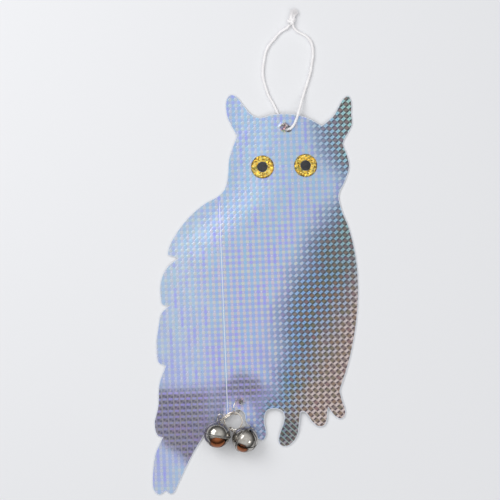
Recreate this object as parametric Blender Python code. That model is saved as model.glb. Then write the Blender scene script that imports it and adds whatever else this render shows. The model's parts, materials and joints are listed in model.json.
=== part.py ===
# Reflective owl bird scarer.
# A flat owl is cut from thin board faced with reflective film and hangs on a loop of cord.
# Two jingle bells hang on wire rings from a hole at its lower edge.
# It lies on its back: the front faces up (+Z), the head points along +Y, the table is Z = 0.

import math

import bmesh
import bpy
from mathutils import Matrix, Vector, geometry

for old in list(bpy.data.objects):
    bpy.data.objects.remove(old, do_unlink=True)

UP = Vector((0, 0, 1))
crease_angle = math.radians(35)
tube_segments = 2           # in a quarter turn: eight sides on wires and cord

# Panel sizes in metres
panel_width = 0.196
panel_height = 0.381
board_thickness = 0.0008
film_thickness = 0.00012
glue_gap = 0.00005          # adhesive between board and film
outline_step = 0.0055       # spacing of the points along the cut edge
sharpest_turn = math.radians(26)    # from one point of a curve to the next, for round tips
mesh_step = 0.013           # spacing of the points inside the panel
edge_margin_share = 0.55    # of mesh_step, kept clear of inside points along an edge

# How the panel bows: its side edges lie on the table and the middle stands off it
bow_rise = 0.0036
# Height, centre line, half width and flat middle of the bow, at the head and at the body.
# The first is a share of the panel's height, the next two of its width, the last of the half width.
head_bow_shares = (0.300, 0.165, 0.306, 0.00)
body_bow_shares = (0.080, 0.010, 0.497, 0.35)
tail_settle_shares = (-0.250, -0.400)   # heights where the bow starts to fade and is gone

# Holes in the panel
cord_hole_share = (0.1604, 0.4139)
cord_hole_radius = 0.0031
bell_hole_share = (-0.0711, -0.2665)
bell_hole_radius = 0.0022
hole_points = 20

# Eyes: a glitter ring stuck on the film with a dark disc in its middle
left_eye_share = (0.0337, 0.3194)
right_eye_share = (0.2433, 0.3231)
iris_radius = 0.0109
pupil_radius = 0.0048
eye_thickness = 0.0005
eye_fit = 0.0002            # round the pupil, inside the iris
stick_gap = 0.0003          # under the eyes, over the film
iris_sectors = 32
iris_rings = 3
pupil_rings = 2

# Cord
cord_diameter = 0.0026
cord_step_share = 2.0       # point spacing along a strand, in cord diameters
hole_step_share = 0.8       # the same where it starts, in the hole
step_growth_share = 1.3     # from each spacing to the next, until it is cord_step_share
sampling_share = 0.125      # of the first spacing, for measuring along the curve
strand_gap = 0.0003         # between the two strands where they meet in the hole
knot_lobe_radius = 0.0024
knot_lobe_spread = 0.0017
knot_lobe_length = 0.0026
knot_lean = math.radians(14)
knot_segments = 16
knot_rings = 10
tail_start_radius = 0.0010
tail_end_radius = 0.0018

# Wire rings
jump_radius = 0.0073        # to the middle of the wire
jump_wire = 0.0010
jump_bite = 0.0112          # from the hole to where the ring passes the panel's edge
jump_heading = math.radians(-104)
jump_lean = math.radians(28)
bell_ring_radius = 0.0085
bell_ring_wire = 0.0012
ring_clearance = 0.0003
ring_seam = math.radians(4)         # butt joint in each ring of wire
ring_seam_turn = math.radians(100)
ring_points = 34

# Bells
bell_radius = 0.0125
bell_wall = 0.0005
bell_flange_radius = 0.0133
bell_flange_thickness = 0.0007
bell_seam = 0.0003          # between the flanges of the two halves
bell_segments = 28
bell_arc_steps = 7
slot_width = 0.0011
slot_end_radius = 0.0014
slot_end_drop = 0.0030      # of the round slot ends below the seam
hanger_wire = 0.0010
hanger_rise = 0.00485       # from the crown to the middle of the hanger's bend
hanger_half_width = 0.0023
hanger_foot = 0.0018        # length of the feet spread inside the crown
hanger_hole_radius = 0.0008
hanger_fit = 0.0003         # between the feet and the inside of the crown
hanger_points = 9
table_clearance = 0.0001
pellet_radius = 0.0032
pellet_gap = 0.0003
pellet_detail = 3
drill_sides = 12
pitch_halvings = 40

# Where each bell lies. Headings turn from +X towards +Y, pitches rise towards +Z.
# link is the bell ring's place round the jump ring, hang the bell's place round its own ring
# from the point opposite the link, and hook_play the slack between crown and ring. The left
# ring turns about its own middle and the right one about its link.
bell_layout = {
    "left": {
        "link": math.radians(27.4),
        "ring_heading": math.radians(-153.2),
        "ring_roll": math.radians(5.2),
        "hang": math.radians(-30),
        "ring_turns_at": "ring_centre",
        "hook_play": 0.0001,
        "bell_heading": math.radians(-99.8),
        "bell_pitch": math.radians(-3),
        "slot_turn": math.radians(48),
    },
    "right": {
        "link": math.radians(-20.7),
        "ring_heading": math.radians(-111.9),
        "ring_roll": math.radians(-44.9),
        "hang": math.radians(16.9),
        "ring_turns_at": "link",
        "hook_play": 0.00294,
        "bell_heading": math.radians(-35.4),
        "bell_pitch": math.radians(27.3),
        "slot_turn": math.radians(53),
    },
}

# One overrun for every cut, and the distance under which two points are one
cut_overrun = 0.0010
weld_distance = 0.000005

# The cut edge, clockwise from the notch left of the head, as shares of width and height.
# Each run is a smooth curve, and the edge has a corner where two runs meet.
left_ear_and_brow_shares = (
    (-0.091, 0.397), (-0.109, 0.414), (-0.134, 0.439), (-0.144, 0.465), (-0.137, 0.492), (-0.122, 0.500),
    (-0.100, 0.498), (-0.065, 0.478), (-0.018, 0.450), (0.020, 0.442), (0.074, 0.449), (0.139, 0.452),
    (0.213, 0.448), (0.269, 0.438), (0.323, 0.422),
)
right_ear_and_side_shares = (
    (0.323, 0.422), (0.357, 0.437), (0.383, 0.451), (0.403, 0.470), (0.432, 0.493), (0.451, 0.498),
    (0.464, 0.487), (0.467, 0.452), (0.470, 0.426), (0.448, 0.402), (0.426, 0.379), (0.443, 0.354),
    (0.457, 0.324), (0.436, 0.285), (0.405, 0.248), (0.415, 0.220), (0.454, 0.169), (0.486, 0.102),
    (0.500, 0.007), (0.492, -0.063), (0.453, -0.170), (0.410, -0.239),
)
right_wing_tip_shares = (
    (0.410, -0.239), (0.423, -0.265), (0.438, -0.292), (0.433, -0.304), (0.413, -0.310), (0.393, -0.306),
    (0.354, -0.282),
)
feet_and_tail_edge_shares = (
    (0.354, -0.282), (0.350, -0.294), (0.340, -0.323), (0.323, -0.329), (0.306, -0.329), (0.269, -0.313),
    (0.237, -0.292), (0.224, -0.292), (0.215, -0.312), (0.204, -0.351), (0.187, -0.366), (0.165, -0.376),
    (0.143, -0.379), (0.125, -0.377), (0.113, -0.368), (0.124, -0.337), (0.140, -0.303), (0.133, -0.292),
    (0.096, -0.284), (0.056, -0.289), (0.043, -0.312), (0.052, -0.351), (0.040, -0.363), (0.009, -0.359),
    (-0.031, -0.331), (-0.049, -0.312), (-0.055, -0.295), (-0.083, -0.286), (-0.107, -0.292),
    (-0.129, -0.303), (-0.172, -0.317), (-0.230, -0.338), (-0.271, -0.369), (-0.344, -0.439),
    (-0.381, -0.480), (-0.396, -0.495), (-0.412, -0.498), (-0.436, -0.490),
)
tail_end_shares = (
    (-0.436, -0.490), (-0.449, -0.496), (-0.467, -0.500), (-0.483, -0.496), (-0.495, -0.487),
    (-0.500, -0.464), (-0.497, -0.433), (-0.486, -0.397), (-0.452, -0.357),
)
low_feather_shares = (
    (-0.452, -0.357), (-0.474, -0.353), (-0.490, -0.330), (-0.474, -0.279), (-0.467, -0.221),
    (-0.437, -0.178),
)
middle_feather_shares = (
    (-0.437, -0.178), (-0.471, -0.170), (-0.481, -0.144), (-0.473, -0.083), (-0.454, -0.043),
    (-0.416, -0.026),
)
high_feather_shares = (
    (-0.416, -0.026), (-0.450, -0.026), (-0.463, -0.001), (-0.449, 0.051), (-0.425, 0.071), (-0.377, 0.091),
)
left_shoulder_shares = (
    (-0.377, 0.091), (-0.393, 0.095), (-0.424, 0.099), (-0.422, 0.115), (-0.388, 0.151), (-0.306, 0.203),
    (-0.244, 0.229), (-0.182, 0.247), (-0.153, 0.262), (-0.136, 0.294), (-0.130, 0.336), (-0.091, 0.397),
)
edge_runs = (
    left_ear_and_brow_shares, right_ear_and_side_shares, right_wing_tip_shares,
    feet_and_tail_edge_shares, tail_end_shares, low_feather_shares, middle_feather_shares,
    high_feather_shares, left_shoulder_shares,
)

# Cord routes in metres, from the hole to the knot. The front strand crosses the top of the
# head and the back strand runs on the table under it.
front_strand_route = (
    (0.0316, 0.1577, 0.0042), (0.0336, 0.1584, 0.0063), (0.0362, 0.1612, 0.0067), (0.0385, 0.1660, 0.0064),
    (0.0405, 0.1720, 0.0062), (0.0425, 0.1790, 0.0050), (0.0447, 0.1870, 0.0028), (0.0470, 0.1945, 0.0016),
    (0.0494, 0.2020, 0.0014), (0.0517, 0.2095, 0.0014), (0.0535, 0.2190, 0.0014), (0.0547, 0.2280, 0.0014),
    (0.0543, 0.2360, 0.0014), (0.0521, 0.2420, 0.0014), (0.0480, 0.2463, 0.0014), (0.0434, 0.2488, 0.0014),
    (0.0396, 0.2510, 0.0015), (0.0367, 0.2540, 0.0019), (0.0356, 0.2570, 0.0023),
)
back_strand_route = (
    (0.0316, 0.1577, 0.0042), (0.0296, 0.1570, 0.0021), (0.0270, 0.1578, 0.0014), (0.0247, 0.1606, 0.0014),
    (0.0231, 0.1655, 0.0014), (0.0217, 0.1715, 0.0014), (0.0195, 0.1765, 0.0014), (0.0165, 0.1825, 0.0014),
    (0.0130, 0.1885, 0.0014), (0.0097, 0.1975, 0.0014), (0.0074, 0.2065, 0.0014), (0.0070, 0.2140, 0.0014),
    (0.0080, 0.2225, 0.0014), (0.0098, 0.2310, 0.0014), (0.0132, 0.2378, 0.0014), (0.0175, 0.2430, 0.0014),
    (0.0215, 0.2480, 0.0014), (0.0262, 0.2519, 0.0015), (0.0301, 0.2540, 0.0019), (0.0323, 0.2568, 0.0023),
)
knot_point = (0.03405, 0.2604)
left_tail_route = (
    (0.0332, 0.2633, 0.0025), (0.0331, 0.2660, 0.0025), (0.0329, 0.2688, 0.0023), (0.0327, 0.2712, 0.0020),
)
right_tail_route = (
    (0.0357, 0.2638, 0.0025), (0.0371, 0.2661, 0.0025), (0.0390, 0.2682, 0.0023), (0.0403, 0.2697, 0.0020),
)


# General helpers

def smoothstep(t):
    t = min(max(t, 0), 1)
    return t * t * (3 - 2 * t)


def blend(a, b, t):
    return a + (b - a) * t


def smooth_run(points, step):
    # A smooth curve through the points, with a point about every step along it and more at a bend.
    lengths = [(b - a).length for a, b in zip(points, points[1:])]
    secants = [(b - a) / d for a, b, d in zip(points, points[1:], lengths)]
    slopes = [secants[0]]
    for i in range(1, len(secants)):
        before, after = lengths[i - 1], lengths[i]
        slopes.append((secants[i - 1] * after + secants[i] * before) / (before + after))
    slopes.append(secants[-1])
    line = []
    for i, length in enumerate(lengths):
        turn = slopes[i].angle(slopes[i + 1])
        count = max(1, round(length / step), math.ceil(turn / sharpest_turn))
        for k in range(count):
            t = k / count
            line.append(
                points[i] * (2 * t ** 3 - 3 * t ** 2 + 1)
                + slopes[i] * length * (t ** 3 - 2 * t ** 2 + t)
                + points[i + 1] * (3 * t ** 2 - 2 * t ** 3)
                + slopes[i + 1] * length * (t ** 3 - t ** 2)
            )
    line.append(points[-1])
    return line


def spaced_run(points, step, first_step):
    # The same curve with its points first_step apart at its start, growing to step.
    fine = smooth_run(points, first_step * sampling_share)
    reach = [0]
    for a, b in zip(fine, fine[1:]):
        reach.append(reach[-1] + (b - a).length)
    marks, gap = [0], first_step
    while marks[-1] < reach[-1]:
        marks.append(marks[-1] + gap)
        gap = min(gap * step_growth_share, step)
    fit = reach[-1] / marks[-1]
    line, j = [], 0
    for mark in marks:
        while j < len(fine) - 2 and reach[j + 1] < mark * fit:
            j += 1
        t = (mark * fit - reach[j]) / (reach[j + 1] - reach[j])
        line.append(fine[j].lerp(fine[j + 1], t))
    return line


def material(name, colour, roughness, metallic):
    made = bpy.data.materials.new(name)
    made.use_nodes = True
    shader = made.node_tree.nodes["Principled BSDF"]
    shader.inputs["Base Color"].default_value = (*colour, 1)
    shader.inputs["Roughness"].default_value = roughness
    shader.inputs["Metallic"].default_value = metallic
    return made


pivot_points = {}


def carry(piece, pivot):
    # The piece stays where it is and follows the pivot from now on.
    piece.parent = pivot
    piece.matrix_parent_inverse = Matrix.Translation(-pivot_points[pivot.name])


def add_pivot(name, point, carrier=None):
    pivot = bpy.data.objects.new(name, None)
    bpy.context.scene.collection.objects.link(pivot)
    pivot.location = point
    pivot_points[name] = Vector(point)
    if carrier:
        carry(pivot, carrier)
    return pivot


def add_piece(name, data, finish, pivot=None):
    piece = bpy.data.objects.new(name, data)
    bpy.context.scene.collection.objects.link(piece)
    data.materials.append(finish)
    if pivot:
        carry(piece, pivot)
    return piece


def close_mesh(name, shape):
    # Turns a finished bmesh into a mesh with its faces out and round parts smooth.
    bmesh.ops.recalc_face_normals(shape, faces=shape.faces[:])
    mesh = bpy.data.meshes.new(name)
    shape.to_mesh(mesh)
    shape.free()
    mesh.shade_smooth()
    mesh.set_sharp_from_angle(angle=crease_angle)
    return mesh


def add_tool(name, data, target, operation):
    # A hidden shape that a Boolean cuts from its target or joins to it.
    tool = bpy.data.objects.new(name, data)
    bpy.context.scene.collection.objects.link(tool)
    tool.hide_render = True
    tool.display_type = "WIRE"
    tool.parent = target
    step = target.modifiers.new(name, "BOOLEAN")
    step.operation = operation
    step.solver = "EXACT"
    step.object = tool


def tube_curve(name, line, radius, radii=None):
    # A round wire or cord along a line of points, with flat ends.
    curve = bpy.data.curves.new(name, "CURVE")
    curve.dimensions = "3D"
    curve.bevel_depth = radius
    curve.bevel_resolution = tube_segments
    curve.use_fill_caps = True
    spline = curve.splines.new("POLY")
    spline.points.add(len(line) - 1)
    for i, point in enumerate(line):
        spline.points[i].co = (*point, 1)
        spline.points[i].radius = radii[i] if radii else 1
    return curve


# Finishes

board_finish = material("board_faced_silver", (0.62, 0.66, 0.74), 0.25, 0.6)
film_finish = material("reflective_film", (0.55, 0.63, 0.80), 0.18, 0.8)
glitter_finish = material("gold_glitter", (0.60, 0.44, 0.16), 0.35, 0.8)
pupil_finish = material("dark_foil", (0.07, 0.07, 0.07), 0.30, 0.3)
cord_finish = material("white_cord", (0.88, 0.87, 0.85), 0.80, 0.0)
nickel_finish = material("nickel_plate", (0.72, 0.71, 0.69), 0.12, 1.0)
pellet_finish = material("bare_steel", (0.45, 0.45, 0.46), 0.35, 1.0)


# Panel

def on_panel(share):
    return Vector((share[0] * panel_width, share[1] * panel_height))


def panel_rise(x, y):
    # Height of the board's underside over the table.
    head_y, body_y = head_bow_shares[0] * panel_height, body_bow_shares[0] * panel_height
    t = smoothstep((y - body_y) / (head_y - body_y))
    middle = blend(body_bow_shares[1], head_bow_shares[1], t) * panel_width
    half = blend(body_bow_shares[2], head_bow_shares[2], t) * panel_width
    flat = blend(body_bow_shares[3], head_bow_shares[3], t)
    across = min(abs(x - middle) / half, 1)
    drop = max(across - flat, 0) / (1 - flat)
    fade_y, gone_y = (share * panel_height for share in tail_settle_shares)
    fade = smoothstep((y - gone_y) / (fade_y - gone_y))
    return bow_rise * fade * math.cos(math.pi / 2 * drop) ** 2


def round_loop(centre, radius, count):
    turns = [2 * math.pi * i / count for i in range(count)]
    return [centre + radius * Vector((math.cos(a), math.sin(a))) for a in turns]


def edge_loop():
    loop = []
    for run in edge_runs:
        loop += smooth_run([on_panel(share) for share in run], outline_step)[:-1]
    return loop


def inside(point, loop):
    odd = False
    for a, b in zip(loop, loop[1:] + loop[:1]):
        if (a.y > point.y) != (b.y > point.y):
            if point.x < a.x + (b.x - a.x) * (point.y - a.y) / (b.y - a.y):
                odd = not odd
    return odd


def inner_points(loops):
    # Staggered rows of points inside the edge, clear of it and of the holes.
    row_height = mesh_step * math.sqrt(3) / 2
    margin = mesh_step * edge_margin_share
    rows = round(panel_height / row_height) + 1
    columns = round(panel_width / mesh_step) + 1
    kept = []
    for row in range(-rows, rows + 1):
        for column in range(-columns, columns + 1):
            point = Vector(((column + (row % 2) / 2) * mesh_step, row * row_height))
            if not inside(point, loops[0]):
                continue
            if all((point - corner).length > margin for loop in loops for corner in loop):
                kept.append(point)
    return kept


def sheet_net():
    # The panel's outline and holes filled with even triangles, flat.
    loops = [
        edge_loop(),
        round_loop(on_panel(cord_hole_share), cord_hole_radius, hole_points),
        round_loop(on_panel(bell_hole_share), bell_hole_radius, hole_points),
    ]
    points, edges = [], []
    for loop in loops:
        first = len(points)
        points += loop
        edges += [(first + i, first + (i + 1) % len(loop)) for i in range(len(loop))]
    points += inner_points(loops)
    inside_edges = 1
    filled = geometry.delaunay_2d_cdt(points, edges, [], inside_edges, weld_distance)
    corners, triangles = filled[0], []
    for triangle in filled[2]:
        middle = sum((corners[i] for i in triangle), Vector((0, 0))) / 3
        if not any(inside(middle, hole) for hole in loops[1:]):
            triangles.append(triangle)
    return corners, triangles


def add_sheet(name, net, base, thickness, finish):
    points, triangles = net
    shape = bmesh.new()
    corners = [shape.verts.new((p.x, p.y, panel_rise(p.x, p.y) + base)) for p in points]
    for triangle in triangles:
        shape.faces.new([corners[i] for i in triangle])
    grown = bmesh.ops.extrude_face_region(shape, geom=shape.faces[:], use_keep_orig=True)
    lifted = [item for item in grown["geom"] if isinstance(item, bmesh.types.BMVert)]
    bmesh.ops.translate(shape, verts=lifted, vec=(0, 0, thickness))
    return add_piece(name, close_mesh(name, shape), finish)


film_base = board_thickness + glue_gap
panel_top = film_base + film_thickness
panel_net = sheet_net()
add_sheet("owl_board", panel_net, 0, board_thickness, board_finish)
add_sheet("front_film", panel_net, film_base, film_thickness, film_finish)


# Eyes

def add_eye_disc(name, centre, inner, outer, rings, finish):
    # A thin disc or ring that follows the bow of the panel under it.
    shape = bmesh.new()
    base = panel_top + stick_gap
    loops = []
    for ring in range(rings + 1):
        radius = blend(inner, outer, ring / rings)
        if radius == 0:
            spots = [centre]
        else:
            spots = round_loop(centre, radius, iris_sectors)
        loops.append([shape.verts.new((p.x, p.y, panel_rise(p.x, p.y) + base)) for p in spots])
    for small, large in zip(loops, loops[1:]):
        for i in range(iris_sectors):
            j = (i + 1) % iris_sectors
            if len(small) == 1:
                shape.faces.new((small[0], large[i], large[j]))
            else:
                shape.faces.new((small[i], large[i], large[j], small[j]))
    bmesh.ops.triangulate(shape, faces=shape.faces[:])
    grown = bmesh.ops.extrude_face_region(shape, geom=shape.faces[:], use_keep_orig=True)
    lifted = [item for item in grown["geom"] if isinstance(item, bmesh.types.BMVert)]
    bmesh.ops.translate(shape, verts=lifted, vec=(0, 0, eye_thickness))
    return add_piece(name, close_mesh(name, shape), finish)


for side, share in (("left", left_eye_share), ("right", right_eye_share)):
    eye_centre = on_panel(share)
    iris_hole = pupil_radius + eye_fit
    add_eye_disc(f"{side}_eye_iris", eye_centre, iris_hole, iris_radius, iris_rings, glitter_finish)
    add_eye_disc(f"{side}_eye_pupil", eye_centre, 0, pupil_radius, pupil_rings, pupil_finish)


# Cord

cord_hole = on_panel(cord_hole_share)
cord_pivot = add_pivot("cord_pivot", (*cord_hole, panel_rise(*cord_hole)))

for name, route in (("cord_front_strand", front_strand_route), ("cord_back_strand", back_strand_route)):
    steps = (cord_diameter * cord_step_share, cord_diameter * hole_step_share)
    line = spaced_run([Vector(p) for p in route], *steps)
    line[0] = line[0] + (line[1] - line[0]).normalized() * strand_gap / 2
    add_piece(name, tube_curve(name, line, cord_diameter / 2), cord_finish, cord_pivot)


def lobe_mesh(side):
    # One side of the knot: a short egg that leans outwards at the top.
    shape = bmesh.new()
    bmesh.ops.create_uvsphere(shape, u_segments=knot_segments, v_segments=knot_rings, radius=knot_lobe_radius)
    stretch = knot_lobe_length / knot_lobe_radius
    bmesh.ops.scale(shape, verts=shape.verts[:], vec=(1, stretch, 1))
    lean = Matrix.Rotation(-side * knot_lean, 3, "Z")
    bmesh.ops.rotate(shape, verts=shape.verts[:], cent=(0, 0, 0), matrix=lean)
    middle = Vector((*knot_point, knot_lobe_radius + table_clearance))
    shift = middle + Vector((side * knot_lobe_spread, 0, 0))
    bmesh.ops.translate(shape, verts=shape.verts[:], vec=shift)
    return close_mesh("knot_lobe", shape)


knot = add_piece("cord_knot", lobe_mesh(-1), cord_finish, cord_pivot)
add_tool("second_lobe", lobe_mesh(1), knot, "UNION")

for name, route in (("cord_tail_left", left_tail_route), ("cord_tail_right", right_tail_route)):
    line = spaced_run([Vector(p) for p in route], cord_diameter, cord_diameter)
    growth = tail_end_radius / tail_start_radius
    radii = [blend(1, growth, i / (len(line) - 1)) for i in range(len(line))]
    add_piece(name, tube_curve(name, line, tail_start_radius, radii), cord_finish, cord_pivot)


# Wire rings

def direction(heading, pitch):
    flat = math.cos(pitch)
    return Vector((math.cos(heading) * flat, math.sin(heading) * flat, math.sin(pitch)))


def add_ring(name, centre, first, second, radius, wire, pivot):
    # A ring of wire in the plane of two directions, with a butt joint where ring_seam_turn says.
    line = []
    for i in range(ring_points + 1):
        turn = ring_seam_turn + ring_seam / 2 + (2 * math.pi - ring_seam) * i / ring_points
        line.append(centre + radius * (math.cos(turn) * first + math.sin(turn) * second))
    return add_piece(name, tube_curve(name, line, wire / 2), nickel_finish, pivot)


bell_hole = on_panel(bell_hole_share)
hole_middle = Vector((*bell_hole, panel_rise(*bell_hole) + panel_top / 2))
jump_along = direction(jump_heading, 0)
jump_up = math.cos(jump_lean) * UP + math.sin(jump_lean) * jump_along.cross(UP)
jump_depth = math.sqrt(jump_radius ** 2 - (jump_bite / 2) ** 2)
jump_centre = hole_middle + jump_along * jump_bite / 2 + jump_up * jump_depth
jump_pivot = add_pivot("jump_pivot", jump_centre)
add_ring("jump_ring", jump_centre, jump_along, jump_up, jump_radius, jump_wire, jump_pivot)


def ring_and_bell(layout):
    # Where a bell's ring and the bell lie. The ring starts at its link with the jump ring, and
    # its pitch is found by halving, so that the bell just clears the table.
    out = math.cos(layout["link"]) * jump_along + math.sin(layout["link"]) * jump_up
    wires = jump_wire / 2 + bell_ring_wire / 2 + ring_clearance
    link = jump_centre + out * (jump_radius - wires)
    petals = direction(layout["bell_heading"], layout["bell_pitch"])
    hook = bell_radius + bell_ring_wire / 2 + ring_clearance + layout["hook_play"]
    rest = max(bell_radius, bell_flange_radius * math.cos(layout["bell_pitch"])) + table_clearance

    def place(pitch):
        along = direction(layout["ring_heading"], pitch)
        level = out.cross(along).normalized()
        across = math.cos(layout["ring_roll"]) * level + math.sin(layout["ring_roll"]) * along.cross(level)
        hang = layout["hang"]
        radial = math.cos(hang) * along - math.sin(hang) * across
        wire_run = math.sin(hang) * along + math.cos(hang) * across
        ring_centre = link + bell_ring_radius * along
        loop = ring_centre + bell_ring_radius * radial
        return {
            "link": link, "along": along, "across": across, "ring_centre": ring_centre,
            "wire_run": wire_run, "loop": loop, "petals": petals, "bell": loop + hook * petals,
        }

    low, high = -math.pi / 3, math.pi / 3
    for _ in range(pitch_halvings):
        middle = (low + high) / 2
        if place(middle)["bell"].z < rest:
            low = middle
        else:
            high = middle
    return place((low + high) / 2)


# Bells. In a bell's own frame the crown is at +Z, the petals at -Z, and X runs along the
# ring's wire where it passes through the hanger.

def crown_profile():
    # The crown half with its flange, from the middle of the outside round to the inside.
    low = bell_seam / 2
    high = low + bell_flange_thickness
    inner_radius = bell_radius - bell_wall
    rim = math.asin(high / bell_radius)
    lip = math.asin(low / inner_radius)
    outer = [blend(math.pi / 2, rim, i / bell_arc_steps) for i in range(bell_arc_steps + 1)]
    inner = [blend(lip, math.pi / 2, i / bell_arc_steps) for i in range(bell_arc_steps + 1)]
    profile = [(bell_radius * math.cos(a), bell_radius * math.sin(a)) for a in outer]
    profile += [(bell_flange_radius, high), (bell_flange_radius, low)]
    profile += [(inner_radius * math.cos(a), inner_radius * math.sin(a)) for a in inner]
    return profile


def shell_mesh(name, side):
    # Half a bell turned round Z: side is 1 for the crown and -1 for the petals.
    shape = bmesh.new()
    corners = [shape.verts.new((r, 0, side * z)) for r, z in crown_profile()]
    edges = [shape.edges.new(pair) for pair in zip(corners, corners[1:])]
    bmesh.ops.spin(
        shape, geom=corners + edges, axis=UP, cent=(0, 0, 0), angle=2 * math.pi,
        steps=bell_segments, use_merge=True, use_duplicate=False,
    )
    bmesh.ops.remove_doubles(shape, verts=shape.verts[:], dist=weld_distance)
    return close_mesh(name, shape)


def slot_mesh(turn):
    # Cuts one straight slot through the petals, up to its round ends.
    shape = bmesh.new()
    reach = bell_radius + cut_overrun
    depth = reach - slot_end_drop
    bmesh.ops.create_cube(shape, size=1)
    bmesh.ops.scale(shape, verts=shape.verts[:], vec=(2 * reach, slot_width, depth))
    bmesh.ops.translate(shape, verts=shape.verts[:], vec=(0, 0, -slot_end_drop - depth / 2))
    bmesh.ops.rotate(shape, verts=shape.verts[:], cent=(0, 0, 0), matrix=Matrix.Rotation(turn, 3, "Z"))
    return close_mesh("slot", shape)


def drill_mesh(radius, start, end):
    # A round hole from one point to another.
    shape = bmesh.new()
    run = end - start
    bmesh.ops.create_cone(
        shape, cap_ends=True, segments=drill_sides, radius1=radius, radius2=radius, depth=run.length,
    )
    turn = UP.rotation_difference(run).to_matrix()
    bmesh.ops.rotate(shape, verts=shape.verts[:], cent=(0, 0, 0), matrix=turn)
    bmesh.ops.translate(shape, verts=shape.verts[:], vec=(start + end) / 2)
    return close_mesh("drill", shape)


def hanger_line():
    # The wire loop on the crown: two legs through the crown, their feet spread inside it.
    foot_end = hanger_half_width + hanger_foot
    inner_radius = bell_radius - bell_wall
    foot_height = math.sqrt(inner_radius ** 2 - foot_end ** 2) - hanger_wire / 2 - hanger_fit
    bend_height = bell_radius + hanger_rise
    left_leg = [
        Vector((0, -foot_end, foot_height)),
        Vector((0, -hanger_half_width - hanger_wire / 2, foot_height)),
        Vector((0, -hanger_half_width, foot_height + hanger_wire / 2)),
    ]
    line = list(left_leg)
    for i in range(hanger_points + 1):
        turn = math.pi * i / hanger_points
        rise = hanger_half_width * math.sin(turn)
        line.append(Vector((0, -hanger_half_width * math.cos(turn), bend_height + rise)))
    return line + [Vector((0, -p.y, p.z)) for p in reversed(left_leg)]


def add_bell(side, layout, place, pivot):
    crown = -place["petals"]
    hole_axis = (place["wire_run"] - crown * crown.dot(place["wire_run"])).normalized()
    leg_axis = crown.cross(hole_axis)
    frame = Matrix((hole_axis, leg_axis, crown)).transposed()

    def put(name, data, finish):
        piece = add_piece(name, data, finish, pivot)
        piece.location = place["bell"]
        piece.rotation_euler = frame.to_euler()
        return piece

    upper = put(f"bell_{side}_upper", shell_mesh(f"bell_{side}_upper", 1), nickel_finish)
    inside_crown = bell_radius - bell_wall - cut_overrun
    for leg in (-1, 1):
        start = Vector((0, leg * hanger_half_width, inside_crown))
        end = Vector((0, leg * hanger_half_width, bell_radius + cut_overrun))
        add_tool(f"leg_hole_{leg}", drill_mesh(hanger_hole_radius, start, end), upper, "DIFFERENCE")

    lower = put(f"bell_{side}_lower", shell_mesh(f"bell_{side}_lower", -1), nickel_finish)
    facing_up = (UP - crown * crown.dot(UP)).normalized()
    slot_way = Matrix.Rotation(layout["slot_turn"], 3, crown) @ facing_up
    first_turn = math.atan2(slot_way.dot(leg_axis), slot_way.dot(hole_axis))
    for number, turn in enumerate((first_turn, first_turn + math.pi / 2)):
        add_tool(f"slot_{number}", slot_mesh(turn), lower, "DIFFERENCE")
        end = Matrix.Rotation(turn, 3, "Z") @ Vector((bell_radius + cut_overrun, 0, 0))
        down = Vector((0, 0, -slot_end_drop))
        drill = drill_mesh(slot_end_radius, down - end, down + end)
        add_tool(f"slot_ends_{number}", drill, lower, "DIFFERENCE")

    hanger = tube_curve(f"bell_{side}_hanger", hanger_line(), hanger_wire / 2)
    put(f"bell_{side}_hanger", hanger, nickel_finish)


def add_pellet(side, place, pivot):
    # The loose ball that rings the bell lies at the lowest place inside it.
    shape = bmesh.new()
    bmesh.ops.create_icosphere(shape, subdivisions=pellet_detail, radius=pellet_radius)
    name = f"bell_{side}_pellet"
    pellet = add_piece(name, close_mesh(name, shape), pellet_finish, pivot)
    sink = bell_radius - bell_wall - pellet_radius - pellet_gap
    pellet.location = place["bell"] - UP * sink


for side, layout in bell_layout.items():
    place = ring_and_bell(layout)
    ring_pivot = add_pivot(f"ring_{side}_pivot", place[layout["ring_turns_at"]], jump_pivot)
    bell_pivot = add_pivot(f"bell_{side}_pivot", place["loop"], ring_pivot)
    add_ring(
        f"bell_ring_{side}", place["ring_centre"], place["along"], place["across"],
        bell_ring_radius, bell_ring_wire, ring_pivot,
    )
    add_bell(side, layout, place, bell_pivot)
    add_pellet(side, place, bell_pivot)
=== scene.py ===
import json
import math
import random

import bmesh
import bpy
import numpy as np
from mathutils import Matrix, Vector, geometry, noise


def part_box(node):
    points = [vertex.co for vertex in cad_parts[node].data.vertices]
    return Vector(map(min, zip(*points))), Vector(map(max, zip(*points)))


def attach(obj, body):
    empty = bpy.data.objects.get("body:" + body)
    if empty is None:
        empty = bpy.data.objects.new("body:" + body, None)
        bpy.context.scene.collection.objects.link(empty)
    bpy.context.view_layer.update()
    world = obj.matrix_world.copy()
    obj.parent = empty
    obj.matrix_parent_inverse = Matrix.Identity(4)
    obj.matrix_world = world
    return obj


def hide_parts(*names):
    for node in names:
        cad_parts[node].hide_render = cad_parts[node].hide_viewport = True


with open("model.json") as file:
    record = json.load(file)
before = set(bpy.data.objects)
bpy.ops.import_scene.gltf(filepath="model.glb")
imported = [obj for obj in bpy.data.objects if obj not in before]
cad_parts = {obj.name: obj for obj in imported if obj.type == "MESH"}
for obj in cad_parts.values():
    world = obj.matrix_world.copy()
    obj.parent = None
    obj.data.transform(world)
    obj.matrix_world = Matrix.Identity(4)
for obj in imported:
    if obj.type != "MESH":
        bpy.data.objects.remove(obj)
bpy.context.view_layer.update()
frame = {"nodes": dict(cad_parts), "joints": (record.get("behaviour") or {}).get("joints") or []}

nodes = frame["nodes"]
joints = {joint["name"]: joint for joint in frame["joints"]}
up = Vector((0, 0, 1))
print("frame loaded,", len(nodes), "nodes")


# Small tools

def shade(colour):  # a display colour, 0 to 255, as the linear one that shaders take
    parts = [part / 255 for part in colour]
    return tuple(part / 12.92 if part < 0.0404 else ((part + 0.055) / 1.055) ** 2.4 for part in parts)


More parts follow.
